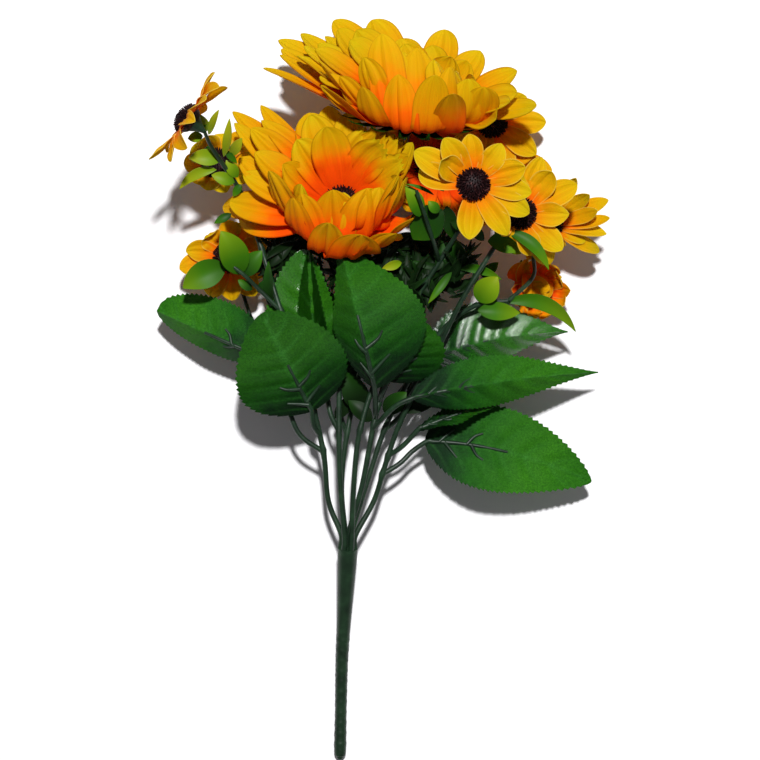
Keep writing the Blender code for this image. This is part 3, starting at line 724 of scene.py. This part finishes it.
# Dyed polyester petal cloth: dull, thin enough that some light comes through, with pressed pleats
# along the petal and a grain of about 1 mm, drawn coarser than the threads so that it shows. The
# dye runs from orange at the foot to yellow past the middle, and clouds over some 11 mm.
def yellow_petal_cloth(name, edge_blend, edge_code, edge_share):
    fabric, shader = new_material(name, {"Roughness": 0.7, "Specular IOR Level": 0.08})
    place = add_node(fabric, "TexCoord", output="Object")
    along, across, tone = [add_node(fabric, "Attribute", {"attribute_name": key}, output="Fac")
                           for key in ("along", "across", "tone")]
    run = add_node(fabric, "TexNoise", {"Scale": 90.0, "Detail": 4.0, "Roughness": 0.6},
                   {"Vector": place})
    run_share = add_node(fabric, "Math", {"operation": "MULTIPLY_ADD", 1: 0.22, 2: -0.11}, {0: run})
    dye_place = add_node(fabric, "Math", {"operation": "ADD"}, {0: along, 1: run_share})
    tone_shift = add_node(fabric, "Math", {"operation": "MULTIPLY_ADD", 1: 0.16, 2: -0.08},
                          {0: tone})
    dye_shift = add_node(fabric, "Math", {"operation": "ADD"}, {0: dye_place, 1: tone_shift})
    dyed = add_node(fabric, "ValToRGB",
                    {"stops": [(0.0, "F24400"), (0.34, "F85C00"), (0.46, "F97600"),
                               (0.56, "F09600"), (0.68, "E6AC02"), (0.84, "E2BA06"),
                               (1.0, "DCC60C")]},
                    {"Fac": dye_shift})
    threads = add_node(fabric, "CombineXYZ", links={"X": across, "Y": along, "Z": tone})
    stretched = add_node(fabric, "Mapping", {"Scale": (9.0, 1.2, 40.0)}, {"Vector": threads})
    streaks = add_node(fabric, "TexNoise", {"Scale": 1.0, "Detail": 3.0}, {"Vector": stretched})
    streak_share = add_node(fabric, "MapRange", {"From Min": 0.4, "From Max": 0.75, "To Min": 0.0,
                                                 "To Max": 0.35}, {"Value": streaks})
    streaked = add_node(fabric, "Mix", {"data_type": "RGBA", "blend_type": "MULTIPLY",
                                        7: linear("E8B070")}, {0: streak_share, 6: dyed}, output=2)
    from_middle = add_node(fabric, "Math", {"operation": "ABSOLUTE"}, {0: across})
    # A band along the edge: on the petal cloth a darker one, partly the frayed cut and partly
    # painted shade along the turned rims; on the daisies' cloth a pale fray.
    fray_and_shade_edge = add_node(fabric, "MapRange", {"From Min": 0.9, "From Max": 1.0, "To Min": 0.0,
                                             "To Max": edge_share}, {"Value": from_middle})
    edged = add_node(fabric, "Mix", {"data_type": "RGBA", "blend_type": edge_blend,
                                     7: linear(edge_code)}, {0: fray_and_shade_edge, 6: streaked}, output=2)
    grain = add_node(fabric, "TexNoise", {"Scale": 1100.0, "Detail": 2.0}, {"Vector": place})
    height = add_node(fabric, "Math", {"operation": "MULTIPLY_ADD", 1: 2.2}, {0: streaks, 2: grain})
    bump = add_node(fabric, "Bump", {"Strength": 0.3, "Distance": 0.0005}, {"Height": height})
    feed(shader, {"Base Color": edged, "Normal": bump})
    through = add_node(fabric, "BsdfTranslucent", links={"Color": edged})
    thin = add_node(fabric, "MixShader", {0: 0.4}, {1: shader.outputs[0], 2: through})
    feed(fabric.node_tree.nodes["Material Output"], {"Surface": thin})
    return fabric


# Its petals' edges are darkened, partly the frayed cut and partly painted shade along the rims.
petal_cloth = yellow_petal_cloth("yellow_polyester_petal_cloth", "MULTIPLY", "B49A60", 0.5)
# The daisies' cloth is cut cold, so its edges are frayed and pale.
frayed_petal_cloth = yellow_petal_cloth("frayed_yellow_petal_cloth", "MIX", "EED860", 0.6)

bloom_lines = {}
for seed, (name, (centre, axis, base_leans, pulls, bends)) in enumerate(BLOOMS.items()):
    rng = np.random.default_rng(seed + 11)
    axes = flower_axes(axis)
    petals = []
    for layer, (table, lean_in, raised, near_share) in enumerate(LAYERS):
        for degrees, tip, half_width in table[name]:
            angle = math.radians(degrees)
            foot = np.array(centre) + axes[0] * raised
            line = line_to_tip(foot, axes, BLOOM_FOOT * BLOOM_RADIUS, angle,
                               around(base_leans, angle) - lean_in,
                               around(pulls, angle) * (1.0 - 0.1 * layer),
                               around(bends, angle), tip)
            if layer == 0:
                bloom_lines.setdefault(name, []).append((angle, line))
            turned_up = TURNED_UP[name][math.cos(angle) < 0] * math.cos(angle)
            fold = FOLDS.get((name, degrees), (rng.uniform(-2, 3), rng.uniform(-8, 8) + turned_up))
            near = max(0.0, -math.sin(angle)) * NEAR_DYE[name] * near_share
            narrow = half_width < NARROW_PETAL
            fullness = NARROW_FULLNESS if narrow else rng.uniform(*FULLNESS[name])
            shape = (FOOT_WIDTH, WIDEST, fullness, rng.uniform(0.08, 0.28), rng.uniform(0.1, 0.2))
            ends = (RAGGED_END, RAGGED_TEETH) if (name, degrees) in RAGGED else (SMOOTH_END, 0.0)
            places, share = petal_places(line, axes, angle, half_width, shape, fold, rng, *ends)
            petals.append((places, share, rng.uniform(0, 1) - near - DEEP_DYE_AND_SHADE_WARMTH[name]))
    finish_piece(petal_piece(f"{name}_petals", petals), petal_cloth, name)

# The bloom at the back lies flat under the others, pressed short against them: its centre, the way
# it faces, and its petals' lengths round the flower.
BACK_BLOOM = ((25.5, 107.0, 14.7), (0.1, 0.25, 0.96), (52, 26, 20, 27, 27, 20, 22, 34))
BACK_PETALS = 15
BACK_HALF_WIDTH = 9.6
BACK_FULLNESS = 2.6
BACK_DYE = 1.2
# Each layer's turn in petals, how many degrees it leans in, its length and how far up it is.
BACK_LAYERS = ((0.0, 0, 1.0, -1.0), (0.5, 5, 0.94, 0.8))
rng = np.random.default_rng(7)
centre, axis, reaches = BACK_BLOOM
axes = flower_axes(axis)
petals = []
for layer, (turn_share, lean_in, length_share, raised) in enumerate(BACK_LAYERS):
    for number in range(BACK_PETALS):
        angle = math.tau * (number + turn_share + rng.uniform(-0.08, 0.08)) / BACK_PETALS
        reach = around(reaches, angle) * length_share * rng.uniform(0.95, 1.03)
        line = line_by_leans(np.array(centre) + axes[0] * raised, axes, BLOOM_FOOT * BLOOM_RADIUS,
                             angle, (85 - lean_in, 88 - lean_in), reach)
        if layer == 0:
            bloom_lines.setdefault("bloom_back", []).append((angle, line))
        half_width = BACK_HALF_WIDTH * min(1.0, 0.5 + 0.5 * reach / 50)
        shape = (FOOT_WIDTH, WIDEST, BACK_FULLNESS, rng.uniform(0.08, 0.2), 0.1)
        fold = (rng.uniform(-1, 2), rng.uniform(-6, 6))
        places, share = petal_places(line, axes, angle, half_width, shape, fold, rng)
        petals.append((places, share, rng.uniform(0, 1) - BACK_DYE))
finish_piece(petal_piece("bloom_back_petals", petals), petal_cloth, "bloom_back")

# Daisies: two small layers of the same cloth, with orange only next to the centre. Most have been
# pressed out of shape, so their petals have their own tips; the other two are even.
DAISY_RADIUS = 7.8
# Each daisy's centre and the way it faces.
DAISIES = {
    "daisy_centre": ((41.4, 92.4, 88), (0, -0.1, 1)),
    "daisy_right": ((63.5, 81, 70), (0.25, -0.05, 0.96)),
    "daisy_far_right": ((79, 79.2, 36), (0.4, 0.3, 0.86)),
    "daisy_back": ((53.6, 129, 19), (0.1, -0.15, 0.98)),
    "daisy_far_left": ((-87, 122.5, 77), (-0.79, 0.6, 0.1)),
    "daisy_low_left": ((-73.5, 63.5, 21), (0, 0.1, 0.99)),
    "daisy_mid_left": ((-78.5, 108, 26.5), (-0.3, 0.2, 0.93)),
    "daisy_low_right": ((74, 47.5, 17.5), (0.25, -0.1, 0.96)),
}
# Each petal's angle and its tip.
DAISY_PETALS = {
    "daisy_centre": [(-95, (39.5, 67.5, 88)), (-55, (57, 70, 90)), (-27, (67, 79.5, 88)),
                     (-6, (67.5, 88.5, 90)), (20, (64.5, 99.5, 94)), (52, (54, 109.5, 93)),
                     (92, (39.5, 114, 94)), (122, (28, 112, 96)), (146, (26.5, 102, 99)),
                     (153, (15, 107, 92)), (168, (16.5, 98.5, 86))],
    "daisy_right": [(-3, (84.5, 80, 72)), (28, (90.5, 94.5, 66)), (50, (78.5, 100, 74)),
                    (70, (73.5, 106.5, 68)), (-40, (83, 64, 66)), (-60, (79.5, 58, 60)),
                    (-78, (71.5, 62.5, 66)), (-112, (58.5, 70.5, 70)), (-150, (54, 75.5, 70)),
                    (140, (55.5, 88, 74)), (100, (65, 96.5, 76))],
    "daisy_far_right": [(58, (92, 100, 46)), (38, (98.5, 92, 44)), (24, (106.5, 89.5, 42)),
                        (12, (102.5, 84, 44)), (2, (109, 80.5, 38)), (-9, (107, 75, 36)),
                        (-22, (98, 71, 32)), (-34, (106.5, 66.5, 26)), (-60, (84.5, 67.5, 30)),
                        (100, (82.5, 96, 30)), (150, (69, 91, 26)), (215, (69.5, 73.5, 24)),
                        (260, (76.5, 66, 24))],
    "daisy_far_left": [(0, (-77, 143.5, 85)), (336, (-74, 136.5, 94)), (40, (-70.5, 138.5, 62)),
                       (304, (-78.5, 129, 99)), (268, (-84, 120, 102)), (236, (-86.5, 108, 95)),
                       (208, (-93, 103, 87)), (182, (-105, 104, 76)), (146, (-100, 111, 58)),
                       (112, (-91, 120.5, 52)), (76, (-81, 129.5, 54))],
    "daisy_low_left": [(96, (-68, 81, 24)), (132, (-84.5, 74, 28)), (165, (-93.5, 66, 26)),
                       (190, (-97, 57.5, 24)), (215, (-92, 50.5, 23)), (245, (-84, 44.5, 22)),
                       (275, (-72, 42.5, 22)), (305, (-60.5, 45, 22)), (340, (-55.5, 54.5, 22)),
                       (18, (-56, 69, 22)), (55, (-57.5, 77.5, 22))],
    "daisy_low_right": [(175, (70.5, 61, 22)), (140, (74.5, 66, 24)), (100, (81, 64, 26)),
                        (62, (86, 59, 26)), (30, (87, 53.5, 26)), (4, (88.5, 47, 25)),
                        (-24, (88, 40.5, 24)), (-60, (82, 36, 22)), (-100, (75, 36, 22)),
                        (-140, (69, 41, 20)), (150, (80.5, 47.5, 33)), (205, (79, 50.5, 30)),
                        (100, (72, 43, 33)), (60, (78, 43, 32))],
}
# The even ones: their petals' leans from the axis at the foot and the tip, and their lengths, round
# the flower from its right side by its far side.
EVEN_DAISIES = {"daisy_back": ((82, 96, 84, 80), (90, 100, 86, 82), (21, 7, 20, 22)),
                "daisy_mid_left": ((72,), (76,), (20, 9, 11, 9))}
EVEN_PETALS = [(36 * turn, None) for turn in range(10)]
# How much farther out the orange of some runs, and how wide the petals of some are.
DEEP_DAISIES = {"daisy_low_right": 1.3, "daisy_low_left": 0.6, "daisy_far_left": 0.6}
NARROW_DAISIES = {"daisy_far_right": 0.66, "daisy_far_left": 0.8, "daisy_low_right": 0.85}
DAISY_HALF_WIDTH = 5.8
DAISY_PULL = 11.0
DAISY_FOOT = 0.6
DAISY_WIDEST = 0.6
DAISY_DYE_SHARE = 0.42
for seed, (name, (centre, axis)) in enumerate(DAISIES.items()):
    rng = np.random.default_rng(seed + 41)
    axes = flower_axes(axis)
    petals = []
    for number, (degrees, tip) in enumerate(DAISY_PETALS.get(name, EVEN_PETALS)):
        angle = math.radians(degrees)
        foot = np.array(centre) + axes[0] * (0.5 * (number % 2))
        start = DAISY_FOOT * DAISY_RADIUS
        if tip:
            line = line_to_tip(foot, axes, start, angle, rng.uniform(68, 86), DAISY_PULL, 1.0, tip)
        else:
            base_leans, tip_leans, reaches = EVEN_DAISIES[name]
            leans = (around(base_leans, angle) + rng.uniform(-4, 4),
                     around(tip_leans, angle) + rng.uniform(-10, 8))
            line = line_by_leans(foot, axes, start, angle, leans, around(reaches, angle) + 0.5)
        half_width = DAISY_HALF_WIDTH * rng.uniform(0.9, 1.08) * NARROW_DAISIES.get(name, 1.0)
        shape = (FOOT_WIDTH, DAISY_WIDEST, rng.uniform(1.6, 2.2), rng.uniform(0.05, 0.35),
                 rng.uniform(0.06, 0.18))
        fold = (rng.uniform(-2, 3), rng.uniform(-14, 14))
        places, share = petal_places(line, axes, angle, half_width, shape, fold, rng)
        petals.append((places, share, rng.uniform(0, 1) - DEEP_DAISIES.get(name, 0.0)))
    daisy = petal_piece(f"{name}_petals", petals, DAISY_DYE_SHARE)
    finish_piece(daisy, frayed_petal_cloth, name)


# Flower centres: a dome of short dark polyester bristles set in plastic, dull. The few pale specks
# in its colour are painted highlights on the bristle tips.
bristle_dark, shader = new_material("dark_maroon_bristle",
                                    {"Roughness": 0.6, "Specular IOR Level": 0.2})
place = add_node(bristle_dark, "TexCoord", output="Object")
glint_specks = add_node(bristle_dark, "TexNoise", {"Scale": 700.0, "Detail": 1.0}, {"Vector": place})
# The lightest stop on the dark bristle colour paints the highlights.
dark_range = add_node(bristle_dark, "ValToRGB",
                      {"stops": [(0.4, "140406"), (0.62, "24090C"), (0.72, "5A3432")]},
                      {"Fac": glint_specks})
feed(shader, {"Base Color": dark_range})

# The domes' radius, height and distance up the axis, and their bristles, turned from one to the
# next by the golden angle.
BLOOM_DOME = (8.6, 5.0, 0.5)
DAISY_DOME = (6.5, 4.4, 0.8)
BRISTLES = 230
GOLDEN_ANGLE = 2.39996


def vertex_places(mesh):
    places = np.zeros(len(mesh.vertices) * 3)
    mesh.vertices.foreach_get("co", places)
    return places.reshape(-1, 3)


def bristled_centre(name, centre, axes, radius, height, seed):
    """A dome with bristles that stand square to it, spaced like sunflower seeds."""
    facing, right, far = axes
    deselect()
    bpy.ops.mesh.primitive_uv_sphere_add(segments=24, ring_count=12, radius=1.0)
    dome = bpy.context.active_object
    ball = vertex_places(dome.data) * (radius, radius, height)
    on_axes = np.array(centre) + ball[:, :1] * right + ball[:, 1:2] * far + ball[:, 2:] * facing
    dome.data.vertices.foreach_set("co", (on_axes * MILLIMETRE).reshape(-1))
    bpy.ops.mesh.primitive_cone_add(vertices=4, radius1=0.5, radius2=0.22, depth=1.0)
    bristle = bpy.context.active_object
    blank = vertex_places(bristle.data)
    faces = [tuple(face.vertices) for face in bristle.data.polygons]
    bpy.data.objects.remove(bristle)
    rng = np.random.default_rng(seed)
    points, all_faces = [], []
    for number in range(BRISTLES):
        share = math.sqrt((number + 0.5) / BRISTLES)
        angle = number * GOLDEN_ANGLE + rng.uniform(-0.1, 0.1)
        tilt = share * math.radians(88)
        out = outwards(axes, angle)
        root = (np.array(centre) + out * (radius * math.sin(tilt))
                + facing * (height * math.cos(tilt)))
        lean = math.radians(10) * rng.normal()
        way = facing * math.cos(tilt * 0.8 + lean) + out * math.sin(tilt * 0.8 + lean)
        side = np.cross(way, out + 0.3 * facing)
        side /= np.linalg.norm(side)
        other = np.cross(way, side)
        length = rng.uniform(1.3, 2.0)
        thick = rng.uniform(0.8, 1.15)
        body = (blank[:, :1] * side * thick + blank[:, 1:2] * other * thick
                + (blank[:, 2:] + 0.4) * way * length)
        first = len(points) * len(blank)
        points.append(root + body)
        all_faces += [tuple(first + corner for corner in face) for face in faces]
    mesh = bpy.data.meshes.new(name)
    mesh.from_pydata((np.concatenate(points) * MILLIMETRE).tolist(), [], all_faces)
    bristles = bpy.data.objects.new(name, mesh)
    bpy.context.collection.objects.link(bristles)
    joined = join(name, [dome, bristles])
    while joined.data.uv_layers:
        joined.data.uv_layers.remove(joined.data.uv_layers[0])
    return joined


FLOWERS = {name: entry[:2] for name, entry in (*BLOOMS.items(), ("bloom_back", BACK_BLOOM),
                                               *DAISIES.items())}
for seed, (name, (centre, axis)) in enumerate(FLOWERS.items()):
    axes = flower_axes(axis)
    radius, height, raised = DAISY_DOME if name in DAISIES else BLOOM_DOME
    middle = np.array(centre) + axes[0] * raised
    core = bristled_centre(f"{name}_centre", middle, axes, radius, height, seed)
    finish_piece(core, bristle_dark, name)

# Calyxes: a moulded cup under each flower, and under the blooms a star of stiff green cloth whose
# points lie against the outer petals. The cup's heights and radii are shares of the disc's radius.
CUP_LEVELS = (-1.05, -0.85, -0.6, -0.35, -0.1, 0.1)
CUP_SIZES = (0.14, 0.2, 0.34, 0.52, 0.66, 0.7)
for name, (centre, axis) in FLOWERS.items():
    facing = Vector(axis).normalized()
    disc = DAISY_RADIUS if name in DAISIES else BLOOM_RADIUS
    points = [Vector(centre) + facing * (disc * level) for level in CUP_LEVELS]
    cup = tube(f"{name}_calyx", [(points, [disc * size for size in CUP_SIZES])], 16)
    finish_piece(cup, stem_green, name)

SEPAL_SHARES = {"bloom_top": 0.62, "bloom_left": 0.45, "bloom_back": 0.45}
SEPAL_HALF_WIDTH = 3.8
SEPAL_DROP = 3.0
SEPAL_FOOT_DROP = 3.4
SEPAL_OUT = 2.4
SEPAL_TONE = 0.9
for seed, (name, lines) in enumerate(bloom_lines.items()):
    rng = np.random.default_rng(seed + 71)
    centre, axis = FLOWERS[name]
    axes = flower_axes(axis)
    sepals = []
    for angle, line in lines:
        reach = int(len(line) * SEPAL_SHARES[name] * rng.uniform(0.9, 1.1))
        sepal = line[2:reach] - axes[0] * SEPAL_DROP + outwards(axes, angle) * SEPAL_OUT
        sepal = np.vstack((np.array(centre) - axes[0] * SEPAL_FOOT_DROP, sepal))
        angle += math.radians(rng.uniform(-5, 5))
        fold = (rng.uniform(-1, 1), rng.uniform(-6, 6))
        places, share = petal_places(sepal, axes, angle, SEPAL_HALF_WIDTH,
                                     (0.8, 0.3, 1.0, 0.1, 0.1), fold, rng)
        sepals.append((places, share, SEPAL_TONE))
    star = petal_piece(f"{name}_sepals", sepals)
    set_attribute(star.data, "vein", np.zeros(len(star.data.vertices)))
    finish_piece(star, leaf_cloth, name)


# Sprigs: small moulded polyethylene leaves in pairs on thin shoots, smooth and slightly glossy,
# dark at the foot and yellow-green at the tip.
SHOOTS = {
    "shoot_centre": [(30, 64, 55), (37, 76, 64), (40.5, 90, 74), (41.3, 93.2, 80)],
    "shoot_right": [(52, 65, 57), (58.5, 74, 57), (61, 80.5, 58), (61.4, 81.4, 61.8)],
    "shoot_far_right": [(60, 41.5, 45.5), (72, 53, 38), (73, 64, 28), (73.5, 75, 24.2),
                        (75.4, 76.5, 28)],
    "shoot_back": [(13.7, 56, 19), (33, 80, 5), (49, 108, 2.5), (52.4, 130.8, 6.6),
                   (52.8, 130.3, 10.6)],
    "shoot_far_left": [(-74.5, 106, 62), (-78.3, 112, 69), (-80.5, 117.4, 76)],
    "shoot_low_left": [(-32.5, -9, 36.8), (-47, 3, 21), (-61, 28, 6), (-69, 50, 2.5),
                       (-73, 61, 5.5), (-73.5, 62.9, 9.2), (-73.5, 63, 12.5)],
    "shoot_mid_left": [(-56.5, 66, 41), (-64, 84, 27), (-71, 100, 14), (-74.8, 105.6, 14.8),
                       (-75.9, 106.3, 18.6)],
    "shoot_low_right": [(7, -4, 27.6), (22, 14, 16), (44, 33, 7), (64, 43, 2.5), (70.8, 48.5, 5.3),
                        (71.9, 48.3, 9.1)],
    "shoot_leafy_left": [(-47.4, 37.1, 42), (-58, 47.5, 45), (-66, 55, 49), (-76, 62, 50)],
    "shoot_leafy_centre": [(27, 60, 54), (24, 68, 69), (20.5, 78, 76), (16, 90, 83)],
}
SHOOT_RADIUS = 1.0
for name, waypoints in SHOOTS.items():
    route = smooth_route(waypoints, 10)
    radii = [SHOOT_RADIUS * (1.05 - 0.25 * index / len(route)) for index in range(len(route))]
    shoot = tube(f"{name}_moulded", [(route, radii)], 10)
    finish_piece(shoot, stem_green, name)

# Each small leaf: its foot, its tip, its width, its roll in degrees, its tone from dark to light,
# which is partly painted shade and light (dark for leaves in shade, lighter for those in a lit
# gap), and how far it bows aside.
SPRIGS = {
    "foliage_far_left": [
        ((-80.5, 119, 66), (-82.5, 125.5, 74), 4.5, 0, 0.82, 0),
        ((-79.5, 117.5, 66), (-74, 127.5, 76), 3.5, 25, 0.88, 0),
        ((-82, 116.5, 68), (-89, 115.5, 66), 4.5, 0, 0.7, 0),
        ((-73, 108, 60), (-69.5, 124, 72), 4, 20, 0.9, 0.05),
        ((-69.5, 108.5, 60), (-64, 115.5, 68), 4.5, -10, 0.9, 0),
        ((-74, 106.5, 60), (-89, 107, 62), 7, 5, 0.72, 0.04),
        ((-76.5, 102, 58), (-94, 93.5, 54), 4.5, 15, 0.8, 0.12),
        ((-68.5, 96.5, 54), (-79, 100, 56), 5.5, 0, 0.65, 0),
        ((-67, 99, 54), (-72, 106.5, 58), 5, 0, 0.65, 0),
        ((-72, 110.5, 62), (-67, 105, 58), 3, 0, 0.35, 0),
        ((-84.5, 120.5, 68), (-80, 122, 70), 3.5, 0, 0.22, 0),
        ((-65.5, 96, 50), (-69.5, 90.5, 48), 3.5, 0, 0.4, 0),
        ((-78.5, 113, 60), (-82.5, 108, 54), 3.5, 0, 0.4, 0),
    ],
    "foliage_low_left": [
        ((-66.5, 54, 46), (-74.5, 73.5, 57), 12.5, -8, 0.5, 0.06),
        ((-73, 57.5, 46), (-93, 47.5, 48), 12, 8, 0.45, 0.05),
        ((-65.5, 53.5, 45), (-56, 65, 48), 8.5, 0, 0.3, 0),
        ((-52.5, 39, 40), (-53, 60, 46), 5.5, 35, 0.12, 0),
        ((-61, 47, 42), (-67.5, 51.5, 44), 4, 0, 0.3, 0),
        ((-70.5, 82.5, 46), (-78.5, 78, 46), 3.5, 0, 0.3, 0),
        ((-58.5, 46, 40), (-51.5, 52, 42), 4.5, 0, 0.18, 0),
    ],
    "foliage_daisy": [
        ((17.5, 79, 74), (11, 92.5, 79), 7.5, -22, 0.52, 0.06),
        ((28.5, 90, 80), (18.5, 95.5, 83), 3.5, 10, 0.45, 0.1),
        ((26, 80.5, 78), (21.5, 85.5, 80), 4.5, 0, 0.45, 0),
        ((28.5, 81.5, 74), (15, 69.5, 62), 14.5, 0, 0.22, 0.05),
        ((24, 88.5, 78), (11, 93, 82), 1.5, 0, 0.35, 0.06),
        ((32, 77, 66), (41.5, 73, 58), 4, 0, 0.18, 0),
        ((30, 84, 70), (33, 70.5, 56), 6.5, 0, 0.12, 0),
    ],
    "foliage_under_daisy": [
        ((49.5, 68.5, 61), (69.5, 66, 57), 9.5, -10, 0.5, -0.05),
        ((57.5, 72.5, 70), (77, 55, 69), 5.5, 10, 0.42, -0.12),
        ((47.5, 69, 60), (40, 77, 66), 4.5, 0, 0.2, 0),
        ((53, 71, 60), (58, 76, 62), 4.5, 0, 0.3, 0),
        ((57.5, 66.5, 60), (65, 63, 58), 3.5, 0, 0.62, 0),
    ],
    "foliage_low_right": [
        ((45.5, 41.5, 46), (54.5, 52.5, 52), 11, 0, 0.62, 0),
        ((49, 54.5, 12), (57, 61.5, 14), 5, 0, 0.3, 0),
        ((67, 48, 14), (68, 62.5, 18), 5, 0, 0.28, 0),
        ((35, 57, 50), (56.5, 51.5, 48), 4, -20, 0.4, -0.08),
        ((45.5, 37, 46), (65.5, 36, 42), 8, 5, 0.48, 0),
        ((58.5, 41, 44), (93, 27.5, 31), 6.5, -8, 0.5, -0.17),
        ((33, 55, 54), (22, 40, 56), 3.5, 0, 0.38, 0),
        ((37.5, 59.5, 50), (34.5, 69.5, 55), 5.5, 0, 0.15, 0),
        ((42, 59.5, 48), (30.5, 50, 46), 4, 0, 0.12, 0),
    ],
    "foliage_centre": [
        ((9.5, 59, 56), (0.5, 56, 58), 4, 20, 0.8, 0),
        ((-9, -11, 32), (-17.5, 8, 38), 11.5, 12, 0, 0.05),
        ((1.5, -11, 34), (12, -1.5, 38), 8.5, -8, 0.12, 0),
        ((-4.5, -15, 38), (-15.5, -5.5, 38), 7.5, -20, -0.05, 0),
        ((7, -8.5, 30), (24.5, -8, 33), 6.5, 0, -0.1, 0),
        ((-22, -14, 28), (-12, -2, 32), 6, 0, -0.1, 0),
    ],
}
SPRIG_ARCH = 0.1
SPRIG_FOOT_SHARE = 0.05
SPRIG_CUP = 0.28
SPRIG_MIDRIB = 0.12
SPRIG_COLUMNS = 8
SPRIG_ROWS = 14


def sprig_places(foot, tip, width, roll, bow):
    """A small leaf's places, rows from foot to tip, and their shares along it."""
    foot, tip = np.array(foot, float), np.array(tip, float)
    v = np.linspace(0.0, 1.0, SPRIG_ROWS + 1)[:, None]
    swell = 4 * v * (1 - v)
    arch = np.array(UP) * SPRIG_ARCH * np.linalg.norm(tip - foot)
    aside = np.cross(tip - foot, UP) * bow
    middle = foot + (tip - foot) * v + (arch + aside) * swell
    way = np.gradient(middle, axis=0)
    way /= np.linalg.norm(way, axis=1)[:, None]
    side = np.cross(way, UP)
    side /= np.linalg.norm(side, axis=1)[:, None]
    side, above = turned(side, np.cross(side, way), roll)
    outline = np.sin(math.pi * v ** 0.85).clip(0) ** 0.8
    half = 0.55 * width * np.maximum(outline, SPRIG_FOOT_SHARE)
    u = np.linspace(-1.0, 1.0, SPRIG_COLUMNS + 1)[None, :]
    lift = half * (SPRIG_CUP * np.abs(u) ** 1.3) + SPRIG_MIDRIB * np.exp(-(u / 0.2) ** 2)
    places = middle[:, None, :] + side[:, None, :] * (u * half)[..., None]
    return places + above[:, None, :] * lift[..., None], np.broadcast_to(v, lift.shape)


# Light green polyethylene, moulded thin: smooth and a little see-through, so it looks bright.
sprig_green, shader = new_material("light_green_polyethylene",
                                   {"Roughness": 0.45, "Specular IOR Level": 0.1})
along, tone = [add_node(sprig_green, "Attribute", {"attribute_name": key}, output="Fac")
               for key in ("along", "tone")]
light_share = add_node(sprig_green, "Math", {"operation": "MULTIPLY_ADD", 1: 0.35, 2: -0.12},
                       {0: along})
# Each leaf's tone, partly painted shade and light, moves it along the ramp.
tone_and_shade_place = add_node(sprig_green, "Math", {"operation": "ADD"}, {0: light_share, 1: tone})
tinted = add_node(sprig_green, "ValToRGB",
                  {"stops": [(0.0, "0C1E08"), (0.25, "183C0C"), (0.5, "336408"), (0.72, "68860C"),
                             (1.0, "8E9414")]}, {"Fac": tone_and_shade_place})
feed(shader, {"Base Color": tinted})

# Narrow leaves fill the heart of the bush, dark in tone as painted shade: each clump's centre, its
# reach, the point that its leaves point away from, how many they are and how light their painted
# tone can be.
CLUMPS = [
    ((15, 51, 46), (19, 15, 9), (10, 22, 42), 90, 0.02),
    ((32, 57, 46), (14, 13, 8), (22, 30, 46), 60, 0.12),
    ((18, 64, 40), (20, 10, 8), (0, 66, 40), 40, -0.05),
    ((-12, 60, 34), (22, 9, 9), (-16, 30, 30), 60, -0.05),
    ((-45, 64, 31), (11, 13, 10), (-40, 25, 30), 100, -0.1),
]
heart_leaves = []
rng = np.random.default_rng(5)
for middle, spread, away_from, count, lightest_shaded_tone in CLUMPS:
    for _ in range(count):
        way = rng.normal(size=3)
        way *= np.array(spread) / np.linalg.norm(way)
        spot = np.array(middle) + way * rng.uniform(0.3, 0.95)
        heading = spot - np.array(away_from)
        heading = heading / np.linalg.norm(heading) + rng.normal(size=3) * (0.8, 0.6, 0.35)
        heading /= np.linalg.norm(heading)
        half_length = heading * rng.uniform(12.0, 24.0) / 2
        heart_leaves.append((spot - half_length, spot + half_length, rng.uniform(1.6, 5.0),
                             rng.uniform(-60, 60), rng.uniform(-0.35, lightest_shaded_tone),
                             rng.uniform(-0.2, 0.2)))
SPRIGS["foliage_centre"] = heart_leaves + SPRIGS["foliage_centre"]

for name, leaves in SPRIGS.items():
    petals = [(*sprig_places(foot, tip, width, roll, bow), tone)
              for foot, tip, width, roll, tone, bow in leaves]
    finish_piece(petal_piece(f"{name}_sprigs", petals), sprig_green, name)
